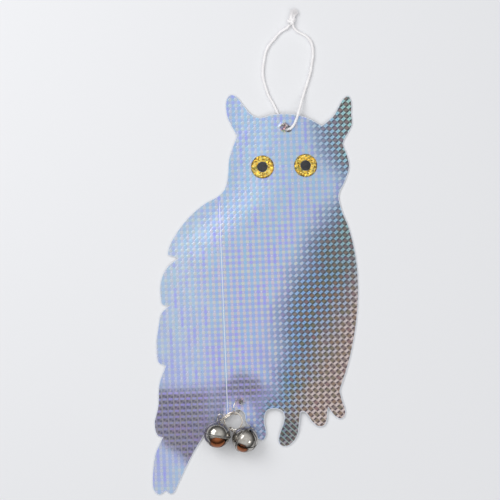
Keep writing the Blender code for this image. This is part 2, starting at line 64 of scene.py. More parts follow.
def ease(t):  # from 0 to 1 with a soft start and a soft end
    t = min(max(t, 0), 1)
    return t * t * (3 - 2 * t)


def mixed(a, b, t):
    return a + (b - a) * t


def around(items):  # each item with the next one, and the last with the first
    return list(zip(items, items[1:] + items[:1]))


def addObject(name, data, *materials):
    made = bpy.data.objects.new(name, data)
    bpy.context.scene.collection.objects.link(made)
    for material in materials:
        data.materials.append(material)
    return made


def meshFrom(shape, name, crease=math.radians(40)):
    bmesh.ops.recalc_face_normals(shape, faces=shape.faces[:])
    mesh = bpy.data.meshes.new(name)
    shape.to_mesh(mesh)
    shape.free()
    mesh.shade_smooth()
    mesh.set_sharp_from_angle(angle=crease)
    return mesh


def settle(piece, body, node):  # parents the piece to the body it rides on and hides the solid it stands for
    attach(piece, body)
    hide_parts(node)
    return piece


def smoothLine(points, step):  # even points along one smooth curve through the given ones
    lengths = [(b - a).length for a, b in zip(points, points[1:])]
    secants = [(b - a) / d for a, b, d in zip(points, points[1:], lengths)]
    slopes = [secants[0]]
    for i in range(1, len(secants)):
        before, after = lengths[i - 1], lengths[i]
        slopes.append((secants[i - 1] * after + secants[i] * before) / (before + after))
    slopes.append(secants[-1])
    line = []
    for i, length in enumerate(lengths):
        count = max(1, round(length / step))
        for k in range(count):
            t = k / count
            point = points[i] * (2 * t ** 3 - 3 * t ** 2 + 1)
            point += slopes[i] * length * (t ** 3 - 2 * t ** 2 + t)
            point += points[i + 1] * (3 * t ** 2 - 2 * t ** 3)
            line.append(point + slopes[i + 1] * length * (t ** 3 - t ** 2))
    return line + [points[-1]]


def lineLength(line):
    return sum((b - a).length for a, b in zip(line, line[1:]))


def sweep(shape, line, radiusAt, sides, closed=False):
    # carries a cross-section along a line without twisting it; radiusAt(reach, turn) is its radius
    tangents = []
    for i in range(len(line)):
        a = line[i - 1] if i or closed else line[0]
        b = line[(i + 1) % len(line)] if i < len(line) - 1 or closed else line[-1]
        tangents.append((b - a).normalized())
    side = tangents[0].orthogonal()
    rings, reach = [], 0
    for i, (point, along) in enumerate(zip(line, tangents)):
        side = (side - along * side.dot(along)).normalized()
        across = along.cross(side)
        reach += (point - line[i - 1]).length if i else 0
        ring = []
        for k in range(sides):
            turn = 2 * math.pi * k / sides
            out = side * math.cos(turn) + across * math.sin(turn)
            ring.append(shape.verts.new(point + out * radiusAt(reach, turn)))
        rings.append(ring)
    for low, high in around(rings) if closed else zip(rings, rings[1:]):
        for (a, b), (c, d) in zip(around(low), around(high)):
            shape.faces.new((a, b, d, c))
    if closed:
        return
    for ring, point in ((rings[0], line[0]), (rings[-1], line[-1])):
        middle = shape.verts.new(point)
        for a, b in around(ring):
            shape.faces.new((a, b, middle))


class Desk:  # places shader nodes in one tree; a value may be a number, a display colour or a socket
    def __init__(self, tree):
        self.tree = tree
        self.count = 0

    def put(self, kind, **settings):
        node = self.tree.nodes.new(kind)
        node.location = (self.count % 12 * 190, -(self.count // 12) * 320)
        self.count += 1
        for key, value in settings.items():
            setattr(node, key, value)
        return node

    def join(self, socket, value):
        if isinstance(value, bpy.types.NodeSocket):
            self.tree.links.new(value, socket)
        else:
            socket.default_value = (*shade(value), 1) if socket.type == "RGBA" else value

    def feed(self, node, **values):  # spaces in socket names are written as underscores
        for key, value in values.items():
            self.join(node.inputs[key.replace("_", " ")], value)
        return node

    def fill(self, node, *values):  # joins the values to the node's first sockets
        for socket, value in zip(node.inputs, values):
            self.join(socket, value)
        return node

    def sum(self, operation, *values):
        return self.fill(self.put("ShaderNodeMath", operation=operation), *values).outputs[0]

    def plus(self, a, b):
        return self.sum("ADD", a, b)

    def minus(self, a, b):
        return self.sum("SUBTRACT", a, b)

    def times(self, a, b):
        return self.sum("MULTIPLY", a, b)

    def ratio(self, a, b):
        return self.sum("DIVIDE", a, b)

    def scaled(self, value, factor, more):  # value times factor, and more
        return self.sum("MULTIPLY_ADD", value, factor, more)

    def vector(self, operation, *values, **named):
        node = self.fill(self.put("ShaderNodeVectorMath", operation=operation), *values)
        return self.feed(node, **named).outputs["Value" if operation == "DISTANCE" else "Vector"]

    def mix(self, first, second, *shares):  # from the first colour to the second; several shares multiply
        share = shares[0]
        for other in shares[1:]:
            share = self.times(share, other)
        node = self.put("ShaderNodeMix", data_type="RGBA")
        for number, value in ((0, share), (6, first), (7, second)):
            self.join(node.inputs[number], value)
        return node.outputs[2]

    def layers(self, base, *steps):  # lays colours over the base one after the other, each with its shares
        for colour, *shares in steps:
            base = self.mix(base, colour, *shares)
        return base

    def rise(self, value, low, high, bottom=0.0, top=1.0):  # bottom up to low, and top from high on
        node = self.put("ShaderNodeMapRange", interpolation_type="SMOOTHSTEP")
        return self.fill(node, value, low, high, bottom, top).outputs[0]

    def wave(self, value, shift=0.0):  # 1 at whole numbers past the shift, 0 halfway between them
        turned = self.scaled(value, 2 * math.pi, -2 * math.pi * shift)
        return self.scaled(self.sum("COSINE", turned), 0.5, 0.5)

    def noise(self, place, scale, detail=2.0, roughness=0.5):
        node = self.put("ShaderNodeTexNoise")
        return self.feed(node, Vector=place, Scale=scale, Detail=detail, Roughness=roughness).outputs["Fac"]

    def chance(self, x, y):  # a random value for each pair of whole numbers
        pair = self.fill(self.put("ShaderNodeCombineXYZ"), x, y)
        node = self.put("ShaderNodeTexWhiteNoise", noise_dimensions="2D")
        return self.feed(node, Vector=pair.outputs[0]).outputs["Value"]

    def split(self, place):
        return self.fill(self.put("ShaderNodeSeparateXYZ"), place).outputs

    def spot(self, place, centre, inner, outer):  # 1 within inner of a point, 0 past outer
        return self.rise(self.vector("DISTANCE", place, centre), inner, outer, 1.0, 0.0)

    def ramp(self, share, *stops):
        node = self.put("ShaderNodeValToRGB")
        marks = node.color_ramp.elements
        while len(marks) < len(stops):
            marks.new(0.5)
        for mark, (at, colour) in zip(marks, stops):
            mark.position = at
            mark.color = (*shade(colour), 1)
        return self.fill(node, share).outputs[0]

    def path(self, share, points):  # a smooth curve through (share, value) points
        node = self.put("ShaderNodeFloatCurve")
        curve = node.mapping.curves[0]
        curve.points[0].location = points[0]
        curve.points[1].location = points[-1]
        for at, value in points[1:-1]:
            curve.points.new(at, value)
        node.mapping.update()
        return self.feed(node, Value=share).outputs[0]

    def bump(self, height, strength, distance, **normal):
        node = self.put("ShaderNodeBump")
        return self.feed(node, Height=height, Strength=strength, Distance=distance, **normal).outputs[0]

    def place(self):
        return self.put("ShaderNodeTexCoord").outputs["Object"]

    def use(self, group, **values):
        return self.feed(self.put("ShaderNodeGroup", node_tree=group), **values).outputs


def newGroup(name, inputs, outputs):  # a socket called Place or Normal is a vector, any other is a number
    group = bpy.data.node_groups.new(name, "ShaderNodeTree")
    for side, titles in (("INPUT", inputs), ("OUTPUT", outputs)):
        for title in titles:
            kind = "NodeSocketVector" if title in ("Place", "Normal") else "NodeSocketFloat"
            group.interface.new_socket(name=title, in_out=side, socket_type=kind)
    desk = Desk(group)
    return group, desk, desk.put("NodeGroupInput").outputs, desk.put("NodeGroupOutput")


def newMaterial(name, **settings):
    material = bpy.data.materials.new(name)
    material.use_nodes = True
    desk = Desk(material.node_tree)
    shader = desk.feed(material.node_tree.nodes["Principled BSDF"], **settings)
    return material, desk, shader


# Effects that several materials share

cellShares = {  # half lengths of the two kinds of cell along and across their slant, in pitches
    "cell": (0.48, 0.34), "between": (0.41, 0.40), "soft": 0.08, "flat": 1.18, "betweenHeight": 0.6,
}


def makeCellGrid():
    # embossed cells on a square net, with smaller ones between them. Columns and Rows are 1 on the net's
    # lines, Cells and Middles are the two kinds of cell, Rims grows to 1 at a cell's border, and Threads
    # are the pale lines where cells meet end to end
    group, desk, given, out = newGroup(
        "cellGrid", ("Place", "Pitch", "Turn"),
        ("Across", "Along", "Columns", "Rows", "Cells", "Middles", "Rims", "Threads", "Random", "Between",
         "Height"),
    )
    turned = desk.put("ShaderNodeVectorRotate", rotation_type="Z_AXIS")
    desk.feed(turned, Vector=given["Place"], Angle=desk.times(given["Turn"], -1.0))
    x, y, _ = desk.split(turned.outputs[0])
    across, along = desk.ratio(x, given["Pitch"]), desk.ratio(y, given["Pitch"])
    kinds = []
    for kind, rounding, shift in (("cell", "ROUND", 0.0), ("between", "FLOOR", -0.5)):
        column, row = desk.sum(rounding, across), desk.sum(rounding, along)
        right = desk.plus(desk.minus(across, column), shift)
        ahead = desk.times(desk.plus(desk.minus(along, row), shift), cellShares["flat"])
        length = desk.sum("ABSOLUTE", desk.plus(right, ahead))
        breadth = desk.sum("ABSOLUTE", desk.minus(right, ahead))
        (long, wide), soft = cellShares[kind], cellShares["soft"]
        inside = desk.times(desk.rise(length, long + soft, long - soft),
                            desk.rise(breadth, wide + soft, wide - soft))
        rims = desk.sum("MAXIMUM", desk.ratio(length, long), desk.ratio(breadth, wide))
        kinds.append((inside, rims, desk.chance(column, row)))
    (cells, rims, cellChance), (middles, _, middleChance) = kinds
    desk.feed(out, Across=across, Along=along, Columns=desk.wave(across), Rows=desk.wave(along),
              Cells=cells, Middles=middles, Rims=rims, Random=cellChance, Between=middleChance,
              Threads=desk.rise(desk.wave(desk.plus(across, along), 0.5), 0.80, 0.98),
              Height=desk.sum("MAXIMUM", cells, desk.times(middles, cellShares["betweenHeight"])))
    return group


def makeHandling():
    # fine scratches, smudges and dust of a handled hard surface
    group, desk, given, out = newGroup("handling", ("Place", "Size"), ("Scratches", "Smudges", "Dust"))
    place = desk.vector("SCALE", given["Place"], Scale=desk.ratio(1.0, given["Size"]))
    stretched = desk.put("ShaderNodeMapping")
    desk.feed(stretched, Vector=place, Rotation=(0.4, 0.7, 0.9), Scale=(0.12, 2.2, 2.2))
    lines = desk.noise(stretched.outputs[0], 2.4, 3.0, 0.6)
    desk.feed(out, Scratches=desk.rise(lines, 0.60, 0.68),
              Smudges=desk.rise(desk.noise(place, 0.35, 3.0, 0.6), 0.35, 0.68),
              Dust=desk.rise(desk.noise(place, 5.0, 2.0, 0.5), 0.66, 0.76))
    return group


def makeFlakes():
    # overlapping glitter flakes, each with a random value and its own tilt
    group, desk, given, out = newGroup("flakes", ("Place", "Size", "Tilt"), ("Random", "Edges", "Normal"))
    cells = desk.put("ShaderNodeTexVoronoi", voronoi_dimensions="3D")
    borders = desk.put("ShaderNodeTexVoronoi", voronoi_dimensions="3D", feature="DISTANCE_TO_EDGE")
    for node in (cells, borders):
        desk.feed(node, Vector=given["Place"], Scale=desk.ratio(1.0, given["Size"]))
    chances = desk.fill(desk.put("ShaderNodeSeparateColor"), cells.outputs["Color"]).outputs
    lean = desk.fill(desk.put("ShaderNodeCombineXYZ"), *[desk.minus(chance, 0.5) for chance in chances])
    leaning = desk.vector("SCALE", lean.outputs[0], Scale=given["Tilt"])
    flat = desk.put("ShaderNodeNewGeometry").outputs["Normal"]
    desk.feed(out, Random=chances[0], Edges=desk.rise(borders.outputs["Distance"], 0.0, 0.08, 1.0, 0.0),
              Normal=desk.vector("NORMALIZE", desk.vector("ADD", flat, leaning)))
    return group


cellGrid = makeCellGrid()
handling = makeHandling()
flakes = makeFlakes()
print("shared effects made")


# Camera, floor and light

view = {
    "middle": (-0.0052, 0.0427), "width": 0.4755, "plane": 0.0036, "lens": 200, "sensor": 36, "depth": 20,
}
light = {
    "ceiling": 1.0, "walls": 0.14, "wallTop": (0.20, 0.90),
    "lamps": {"key": {"power": 6.0, "size": 0.8, "at": (-0.70, 0.56, 0.98)},
              "fill": {"power": 0.8, "size": 0.3, "at": (0.70, -0.50, 0.8)}},
    "floor": {"colour": (232, 233, 236), "roughness": 0.75, "reach": 12, "drop": 0.0002},
}


def makeCamera():
    data = bpy.data.cameras.new("camera")
    data.lens = view["lens"]
    data.sensor_width = view["sensor"]
    data.clip_end = view["depth"]
    camera = addObject("camera", data)
    away = view["width"] * view["lens"] / view["sensor"]
    camera.location = (*view["middle"], view["plane"] + away)
    bpy.context.scene.camera = camera
    bpy.context.scene.view_settings.view_transform = "Standard"


def makeLight():
    world = bpy.data.worlds.new("studio")
    world.use_nodes = True
    desk = Desk(world.node_tree)
    height = desk.split(desk.put("ShaderNodeTexCoord").outputs["Generated"])["Z"]
    strength = desk.rise(height, *light["wallTop"], light["walls"], light["ceiling"])
    desk.feed(world.node_tree.nodes["Background"], Color=(255, 255, 255), Strength=strength)
    bpy.context.scene.world = world
    for name, lamp in light["lamps"].items():
        data = bpy.data.lights.new(name, "AREA")
        data.shape = "SQUARE"
        data.size = lamp["size"]
        data.energy = lamp["power"]
        placed = addObject(name, data)
        placed.location = lamp["at"]
        placed.rotation_euler = (-placed.location).to_track_quat("-Z", "Y").to_euler()


def makeFloor():
    floor = light["floor"]
    shape = bmesh.new()
    bmesh.ops.create_grid(shape, x_segments=1, y_segments=1, size=floor["reach"])
    material = newMaterial("paleFloor", Base_Color=floor["colour"], Roughness=floor["roughness"])[0]
    made = addObject("floor", meshFrom(shape, "floor"), material)
    made.location.z = -floor["drop"]


makeCamera()
makeLight()
makeFloor()
print("camera, floor and light placed")


# Cord: one knotted loop, made as the front strand and the back strand that meet in the head's hole

cord = {
    "diameter": 0.0026, "ringStep": 0.00045, "sides": 20, "plies": 3, "lay": 0.0085, "groove": 0.10,
    "wander": 0.00012, "wanderStep": 0.006, "meeting": 0.00015, "crease": math.radians(60),
    "fuzzSize": 2600, "fuzz": (0.35, 0.00012),  # the fuzz as a bump: strength and depth
    # the last colour is painted shade for the low places of the fuzz
    "white": (254, 253, 254), "aged": (247, 244, 245), "paintedHollowShade": (212, 208, 212),
}
frontRoute = (  # in metres, from the hole to the knot, as the solids have it
    (0.0316, 0.1577, 0.0042), (0.0336, 0.1584, 0.0063), (0.0362, 0.1612, 0.0067), (0.0385, 0.1660, 0.0064),
    (0.0405, 0.1720, 0.0062), (0.0425, 0.1790, 0.0050), (0.0447, 0.1870, 0.0028), (0.0470, 0.1945, 0.0016),
    (0.0494, 0.2020, 0.0014), (0.0517, 0.2095, 0.0014), (0.0535, 0.2190, 0.0014), (0.0547, 0.2280, 0.0014),
    (0.0543, 0.2360, 0.0014), (0.0521, 0.2420, 0.0014), (0.0480, 0.2463, 0.0014), (0.0434, 0.2488, 0.0014),
    (0.0396, 0.2510, 0.0015), (0.0367, 0.2540, 0.0019), (0.0356, 0.2570, 0.0023),
)
backRoute = (
    (0.0316, 0.1577, 0.0042), (0.0296, 0.1570, 0.0021), (0.0270, 0.1578, 0.0014), (0.0247, 0.1606, 0.0014),
    (0.0231, 0.1655, 0.0014), (0.0217, 0.1715, 0.0014), (0.0195, 0.1765, 0.0014), (0.0165, 0.1825, 0.0014),
    (0.0130, 0.1885, 0.0014), (0.0097, 0.1975, 0.0014), (0.0074, 0.2065, 0.0014), (0.0070, 0.2140, 0.0014),
    (0.0080, 0.2225, 0.0014), (0.0098, 0.2310, 0.0014), (0.0132, 0.2378, 0.0014), (0.0175, 0.2430, 0.0014),
    (0.0215, 0.2480, 0.0014), (0.0262, 0.2519, 0.0015), (0.0301, 0.2540, 0.0019), (0.0323, 0.2568, 0.0023),
)
knot = {
    "middle": (0.03425, 0.2602, 0.0026), "width": 0.001426, "length": 0.001092, "depth": 0.00075,
    "loops": 1.1, "thickness": 0.0017, "lean": math.radians(12), "steps": 150, "sides": 16,
}
tails = {
    "left": {"root": (0.0338, 0.2618, 0.0026), "seed": 11,
             "tips": ((0.0328, 0.2700), (0.0338, 0.2713), (0.0354, 0.2704), (0.0366, 0.2714))},
    "right": {"root": (0.0355, 0.2616, 0.0026), "seed": 12,
              "tips": ((0.0364, 0.2712), (0.0376, 0.2722), (0.0394, 0.2706), (0.0407, 0.2684))},
}
core = {"radius": 0.0013, "length": 0.0052, "steps": 8, "sides": 12, "taper": 0.6}  # a tail's spun root
fibre = {
    "count": 75, "radius": 0.00023, "sides": 5, "steps": 9, "spread": (0.00025, 0.0004, 0.0004),
    "lowest": 0.0006, "rootShare": 0.9, "sway": 0.0005, "lift": 0.0004, "kneeShare": (0.35, 0.5),
    "taper": 0.016, "tipShare": 0.45, "crease": math.radians(80),
}


def cordMaterial():
    material, desk, shader = newMaterial("whiteCord", Roughness=0.85, Sheen_Weight=0.25, Sheen_Roughness=0.5)
    place = desk.place()
    fuzz = desk.noise(place, cord["fuzzSize"], 3.0, 0.6)
    worn = desk.mix(cord["white"], cord["aged"], desk.rise(desk.noise(place, 160), 0.35, 0.7))
    # painted shade where the fuzz bump is low
    colour = desk.mix(desk.mix(worn, cord["paintedHollowShade"], 0.22), worn, desk.rise(fuzz, 0.42, 0.62))
    desk.feed(shader, Base_Color=colour, Normal=desk.bump(fuzz, *cord["fuzz"]))
    return material


def pliesShare(reach, turn):  # the radius dips between the cord's plies
    ply = cord["plies"] / 2 * (turn - 2 * math.pi * reach / cord["lay"])
    return 1 - cord["groove"] * (1 - abs(math.cos(ply)))


def knotRadius(reach, turn):
    return knot["thickness"] * pliesShare(reach, turn)


def coreRadius(reach, turn):
    return core["radius"] * (1 - core["taper"] * (reach / core["length"]) ** 2)


def fibreRadius(reach, turn):
    return fibre["radius"] * max(fibre["tipShare"], 1 - reach / fibre["taper"])


def strandMesh(name, line):
    shape = bmesh.new()

    def radiusAt(reach, turn):
        loose = noise.noise(Vector((reach / cord["wanderStep"], turn, len(line)))) * cord["wander"]
        return cord["diameter"] / 2 * pliesShare(reach, turn) + loose

    sweep(shape, line, radiusAt, cord["sides"])
    return meshFrom(shape, name, cord["crease"])


def knotMesh():
    # an overhand knot pulled tight: a closed turn of cord over and under the two strands
    shape = bmesh.new()
    middle, lean = Vector(knot["middle"]), Matrix.Rotation(knot["lean"], 3, "Z")
    line = []
    for i in range(knot["steps"]):
        t = 2 * math.pi * i / knot["steps"]
        line.append(middle + lean @ Vector((
            (math.sin(t) + knot["loops"] * math.sin(2 * t)) * knot["width"],
            (math.cos(t) - knot["loops"] * math.cos(2 * t)) * knot["length"],
            -math.sin(3 * t) * knot["depth"],
        )))
    sweep(shape, line, knotRadius, knot["sides"], closed=True)
    return meshFrom(shape, "knotTurns", cord["crease"])


def tuftMesh(name, tail):
    # a short spun core that opens into loose fibres
    draw = random.Random(tail["seed"])
    shape = bmesh.new()
    root = Vector(tail["root"])
    tips = [Vector((x, y, root.z)) for x, y in tail["tips"]]
    out = (sum(tips, Vector((0, 0, 0))) / len(tips) - root).normalized()
    side = out.cross(up)
    line = [root + out * core["length"] * i / core["steps"] for i in range(core["steps"] + 1)]
    sweep(shape, line, coreRadius, core["sides"])
    for _ in range(fibre["count"]):
        at = draw.uniform(0, len(tips) - 1.001)
        tip = tips[int(at)].lerp(tips[int(at) + 1], at % 1)
        tip += Vector([draw.gauss(0, spread) for spread in fibre["spread"]])
        tip.z = max(tip.z, fibre["lowest"])
        turn = draw.uniform(0, 2 * math.pi)
        far = core["radius"] * math.sqrt(draw.random()) * fibre["rootShare"]
        first = root + side * far * math.cos(turn) + up * far * math.sin(turn)
        sway = side * draw.gauss(0, fibre["sway"]) + up * draw.gauss(0, fibre["lift"])
        knee = first + out * (tip - first).length * draw.uniform(*fibre["kneeShare"]) + sway
        line = []
        for i in range(fibre["steps"]):
            t = i / (fibre["steps"] - 1)
            line.append(first * (1 - t) ** 2 + knee * 2 * t * (1 - t) + tip * t * t)
        sweep(shape, line, fibreRadius, fibre["sides"])
    return meshFrom(shape, name, fibre["crease"])


def makeCord():
    finish = cordMaterial()
    knotTurns = settle(addObject("knotTurns", knotMesh(), finish), "hang_cord", "cord_knot")
    tufts = []
    for side, tail in tails.items():
        name = f"frayedTail_{side}"
        tuft = addObject(name, tuftMesh(name, tail), finish)
        tufts.append(settle(tuft, "hang_cord", f"cord_tail_{side}"))
    for name, route, node, ends in (("frontStrand", frontRoute, "cord_front_strand", [knotTurns, *tufts]),
                                    ("backStrand", backRoute, "cord_back_strand", [knotTurns])):
        line = smoothLine([Vector(point) for point in route], cord["ringStep"])
        line[0] = line[0] + (line[1] - line[0]).normalized() * cord["meeting"]
        strand = settle(addObject(name, strandMesh(name, line), finish), "hang_cord", node)
        print(name, round(lineLength(line) * 1000, 1), "mm long")


makeCord()
print("cord made")


# Panel: board with a silver back, and the reflective film laid over its front

panel = {
    "width": 0.196, "height": 0.381, "boardThickness": 0.0008, "filmBase": 0.00085,
    "filmThickness": 0.00012, "rim": 0.00055, "holeRim": 0.0001, "edgeStep": 0.0013, "netStep": 0.0042,
    "fineStep": 0.0007, "fineReach": 0.0085, "edgeShare": 0.55, "tightest": 0.45, "weld": 1e-6,
}
bow = {  # at the head and the body: height, middle, half width and flat share, as the board has them
    "rise": 0.0036, "head": (0.300, 0.165, 0.306, 0.00), "body": (0.080, 0.010, 0.497, 0.35),
    "settle": (-0.250, -0.400),
}
cornerShares = (  # where the cut edge turns sharply, as (width, height) shares from the middle
    (-0.091, 0.397), (0.323, 0.422), (0.410, -0.239), (0.354, -0.282), (-0.436, -0.490), (-0.452, -0.357),
    (-0.437, -0.178), (-0.416, -0.026), (-0.377, 0.091),
)
cordHole = {"middle": (0.031438, 0.157696), "radius": 0.0031, "sides": 40}
bellHole = {"middle": (-0.013936, -0.101537), "radius": 0.0022, "sides": 40}
crumple = {  # the punched film stands up beside the cord's hole
    "middle": (0.0276, 0.1592), "reach": 0.0066, "height": 0.0010, "size": 0.0020, "fade": 0.6,
    "level": 0.25, "folds": 1.3, "seed": 3.7,
}


def boardRise(x, y):
    headY, bodyY = bow["head"][0] * panel["height"], bow["body"][0] * panel["height"]
    t = ease((y - bodyY) / (headY - bodyY))
    middle, half, flat = (mixed(bow["body"][i], bow["head"][i], t) for i in (1, 2, 3))
    across = min(abs(x - middle * panel["width"]) / (half * panel["width"]), 1)
    drop = max(across - flat, 0) / (1 - flat)
    fadeY, goneY = (share * panel["height"] for share in bow["settle"])
    return bow["rise"] * ease((y - goneY) / (fadeY - goneY)) * math.cos(math.pi / 2 * drop) ** 2


def filmRise(x, y):
    away = math.hypot(x - crumple["middle"][0], y - crumple["middle"][1])
    lift = 0
    if away <= crumple["reach"]:
        fade = ease((crumple["reach"] - away) / (crumple["reach"] * crumple["fade"]))
        folds = abs(noise.noise(Vector((x / crumple["size"], y / crumple["size"], crumple["seed"]))))
        lift = crumple["height"] * fade * (crumple["level"] + crumple["folds"] * folds)
    return boardRise(x, y) + panel["filmBase"] + lift


def cutEdge(node):  # the outline of a sheet, read from the solid's upper edges; its holes are shorter loops
    shape = bmesh.new()
    shape.from_mesh(nodes[node].data)
    bmesh.ops.remove_doubles(shape, verts=shape.verts[:], dist=panel["weld"])
    near = {}
    for edge in shape.edges:
        tilts = sorted(face.normal.z for face in edge.link_faces)
        if len(tilts) == 2 and abs(tilts[0]) < 0.5 < tilts[1]:
            a, b = edge.verts
            near.setdefault(a, []).append(b)
            near.setdefault(b, []).append(a)
    loops, left = [], set(near)
    while left:
        loop = [min(left, key=lambda v: v.index)]
        left.discard(loop[0])
        while True:
            ahead = [v for v in near[loop[-1]] if v in left]
            if not ahead:
                break
            loop.append(ahead[0])
            left.discard(ahead[0])
        loops.append([v.co.xy for v in loop])
    shape.free()
    return max(loops, key=len)


def roundOutline(loop):  # the cut edge as smooth curves between its corners
    corners = []
    for share in cornerShares:
        spot = Vector((share[0] * panel["width"], share[1] * panel["height"]))
        corners.append(min(range(len(loop)), key=lambda i: (loop[i] - spot).length))
    corners.sort()
    outline = []
    for first, last in zip(corners, corners[1:] + [corners[0] + len(loop)]):
        run = [loop[i % len(loop)] for i in range(first, last + 1)]
        outline += smoothLine(run, panel["edgeStep"])[:-1]
    return outline


def inset(loop, distance):
    turned = 1 if sum(a.x * b.y - b.x * a.y for a, b in around(loop)) > 0 else -1
    moved = []
    for i, point in enumerate(loop):
        a, b = loop[i - 1], loop[(i + 1) % len(loop)]
        into, out = (point - a).normalized(), (b - point).normalized()
        side = Vector((-(into + out).y, (into + out).x)).normalized() * turned
        square = max(panel["tightest"], side.dot(Vector((-into.y, into.x))) * turned)
        moved.append(point + side * distance / square)
    return moved


def roundLoop(hole, grow=0):
    middle, radius = Vector(hole["middle"]), hole["radius"] + grow
    turns = [2 * math.pi * i / hole["sides"] for i in range(hole["sides"])]
    return [middle + radius * Vector((math.cos(a), math.sin(a))) for a in turns]


def insideMask(points, loop):
    x, y = points[:, 0], points[:, 1]
    odd = np.zeros(len(points), bool)
    for a, b in around(loop):
        crosses = (a.y > y) != (b.y > y)
        if b.y != a.y:
            odd ^= crosses & (x < a.x + (b.x - a.x) * (y - a.y) / (b.y - a.y))
    return odd


def netPoints(loops, step, middle=None, reach=None):
    row = step * math.sqrt(3) / 2
    rows, columns = int(panel["height"] / 2 / row) + 1, int(panel["width"] / 2 / step) + 1
    spots = np.array([((column + (line % 2) / 2) * step, line * row)
                      for line in range(-rows, rows + 1) for column in range(-columns, columns + 1)])
    if middle:
        spots = spots[np.hypot(spots[:, 0] - middle[0], spots[:, 1] - middle[1]) < reach]
    keep = insideMask(spots, loops[0])
    for hole in loops[1:]:
        keep &= ~insideMask(spots, hole)
    edge = np.array([point for loop in loops for point in loop])
    clear = step * panel["edgeShare"]
    return [Vector(spot) for spot in spots[keep] if np.hypot(*(edge - spot).T).min() > clear]


def sheetNet(loops):
    points, edges = [], []
    for loop in loops:
        edges += [(len(points) + a, len(points) + b) for a, b in around(list(range(len(loop))))]
        points += loop
    middle = Vector(crumple["middle"])
    for point in netPoints(loops, panel["netStep"]):
        if (point - middle).length > panel["fineReach"] + panel["fineStep"]:
            points.append(point)
    points += netPoints(loops, panel["fineStep"], crumple["middle"], panel["fineReach"])
    filled = geometry.delaunay_2d_cdt(points, edges, [], 1, panel["weld"])
    corners, triangles = filled[0], filled[2]
    centres = np.array([sum((corners[i] for i in face), Vector((0, 0))) / 3 for face in triangles])
    punched = np.zeros(len(centres), bool)
    for hole in loops[1:]:
        punched |= insideMask(centres, hole)
    return corners, [face for face, gone in zip(triangles, punched) if not gone]


def sheetMesh(name, loops, heightAt, thickness):
    corners, triangles = sheetNet(loops)
    shape = bmesh.new()
    low = [shape.verts.new((p.x, p.y, heightAt(p.x, p.y))) for p in corners]
    high = [shape.verts.new((p.x, p.y, heightAt(p.x, p.y) + thickness)) for p in corners]
    edges = {}
    for a, b, c in triangles:
        shape.faces.new((low[a], low[c], low[b]))
        shape.faces.new((high[a], high[b], high[c]))
        for pair in ((a, b), (b, c), (c, a)):
            edges[frozenset(pair)] = None if frozenset(pair) in edges else pair
    for a, b in filter(None, edges.values()):
        shape.faces.new((low[a], low[b], high[b], high[a]))
    return meshFrom(shape, name)


filmLook = {
    "pitch": 0.00565, "turn": math.radians(2.3),
    "seam": -0.0309, "seamWidth": 0.0007, "seamTop": (0.74, 0.72),
    # how the painted lit side meets the painted shaded side of the film: (height, width) shares from the
    # tail to the head
    "darkEdge": ((0.0, 0.53), (0.16, 0.532), (0.215, 0.55), (0.26, 0.59), (0.31, 0.625), (0.41, 0.634),
                 (0.51, 0.672), (0.575, 0.716), (0.637, 0.77), (0.70, 0.842), (0.737, 0.90), (0.774, 0.93),
                 (0.824, 0.876), (0.862, 0.842), (0.916, 0.818), (1.0, 0.813)),
    # where the painted shade starts and is full, and over what span painted light lightens its edge
    "darkStart": -0.11, "darkFull": 0.04, "paintedEdgeLight": (-0.06, 0.13),
    # two painted patches of shade, by the foot and at the right: where, and how far they reach
    "paintedFootShade": (0.0325, -0.1310, 0.0020), "paintedFootShadeReach": (0.006, 0.022),
    "paintedRightShade": (0.0790, 0.0470, 0.0020), "paintedRightShadeReach": (0.012, 0.062),
    # the painted band of shade over the tail, as (width, height) shares of its upper and its lower edge
    "bandTop": ((0.0, 0.272), (0.30, 0.276), (0.36, 0.290), (0.43, 0.306), (0.50, 0.296), (0.56, 0.272),
                (1.0, 0.270)),
    "bandLow": ((0.0, 0.150), (0.10, 0.112), (0.19, 0.078), (0.32, 0.060), (0.35, 0.222), (0.40, 0.240),
                (0.46, 0.238), (0.50, 0.215), (0.535, 0.172), (0.57, 0.150), (1.0, 0.150)),
    "bandBlend": 0.030,
    "bandShare": ((0.0, 1.0), (0.2, 1.0), (0.32, 0.72), (0.40, 0.90), (0.5, 0.95), (1.0, 0.8)),
    "bandShadows": ((-0.16, -0.40), (0.27, 0.36)),
    # painted glints round the two holes: where, from full to gone, and how much
    "paintedGlintSpots": ((crumple["middle"], 0.0034, 0.0058, 0.9), (bellHole["middle"], 0.0026, 0.0062, 0.5)),
    "facets": {"Size": 0.0015, "Tilt": 0.9},
    "emboss": (0.15, 0.0004), "scratches": (0.06, 0.0001),  # as bumps: strength and depth
}
# the film's lit side: a painted reflection of the lamp
paintedLitColours = {
    "blues": ((0.0, (144, 187, 220)), (0.45, (142, 173, 224)), (0.8, (156, 158, 230))),
    "dots": ((0.0, (194, 199, 190)), (0.5, (196, 193, 192)), (1.0, (198, 186, 202))),
    "dotSides": (156, 185, 212), "dotEnds": (170, 172, 206), "head": (154, 185, 212),
    "cool": (174, 194, 208), "violet": (152, 153, 218), "bands": (148, 150, 230), "glints": (210, 208, 234),
}
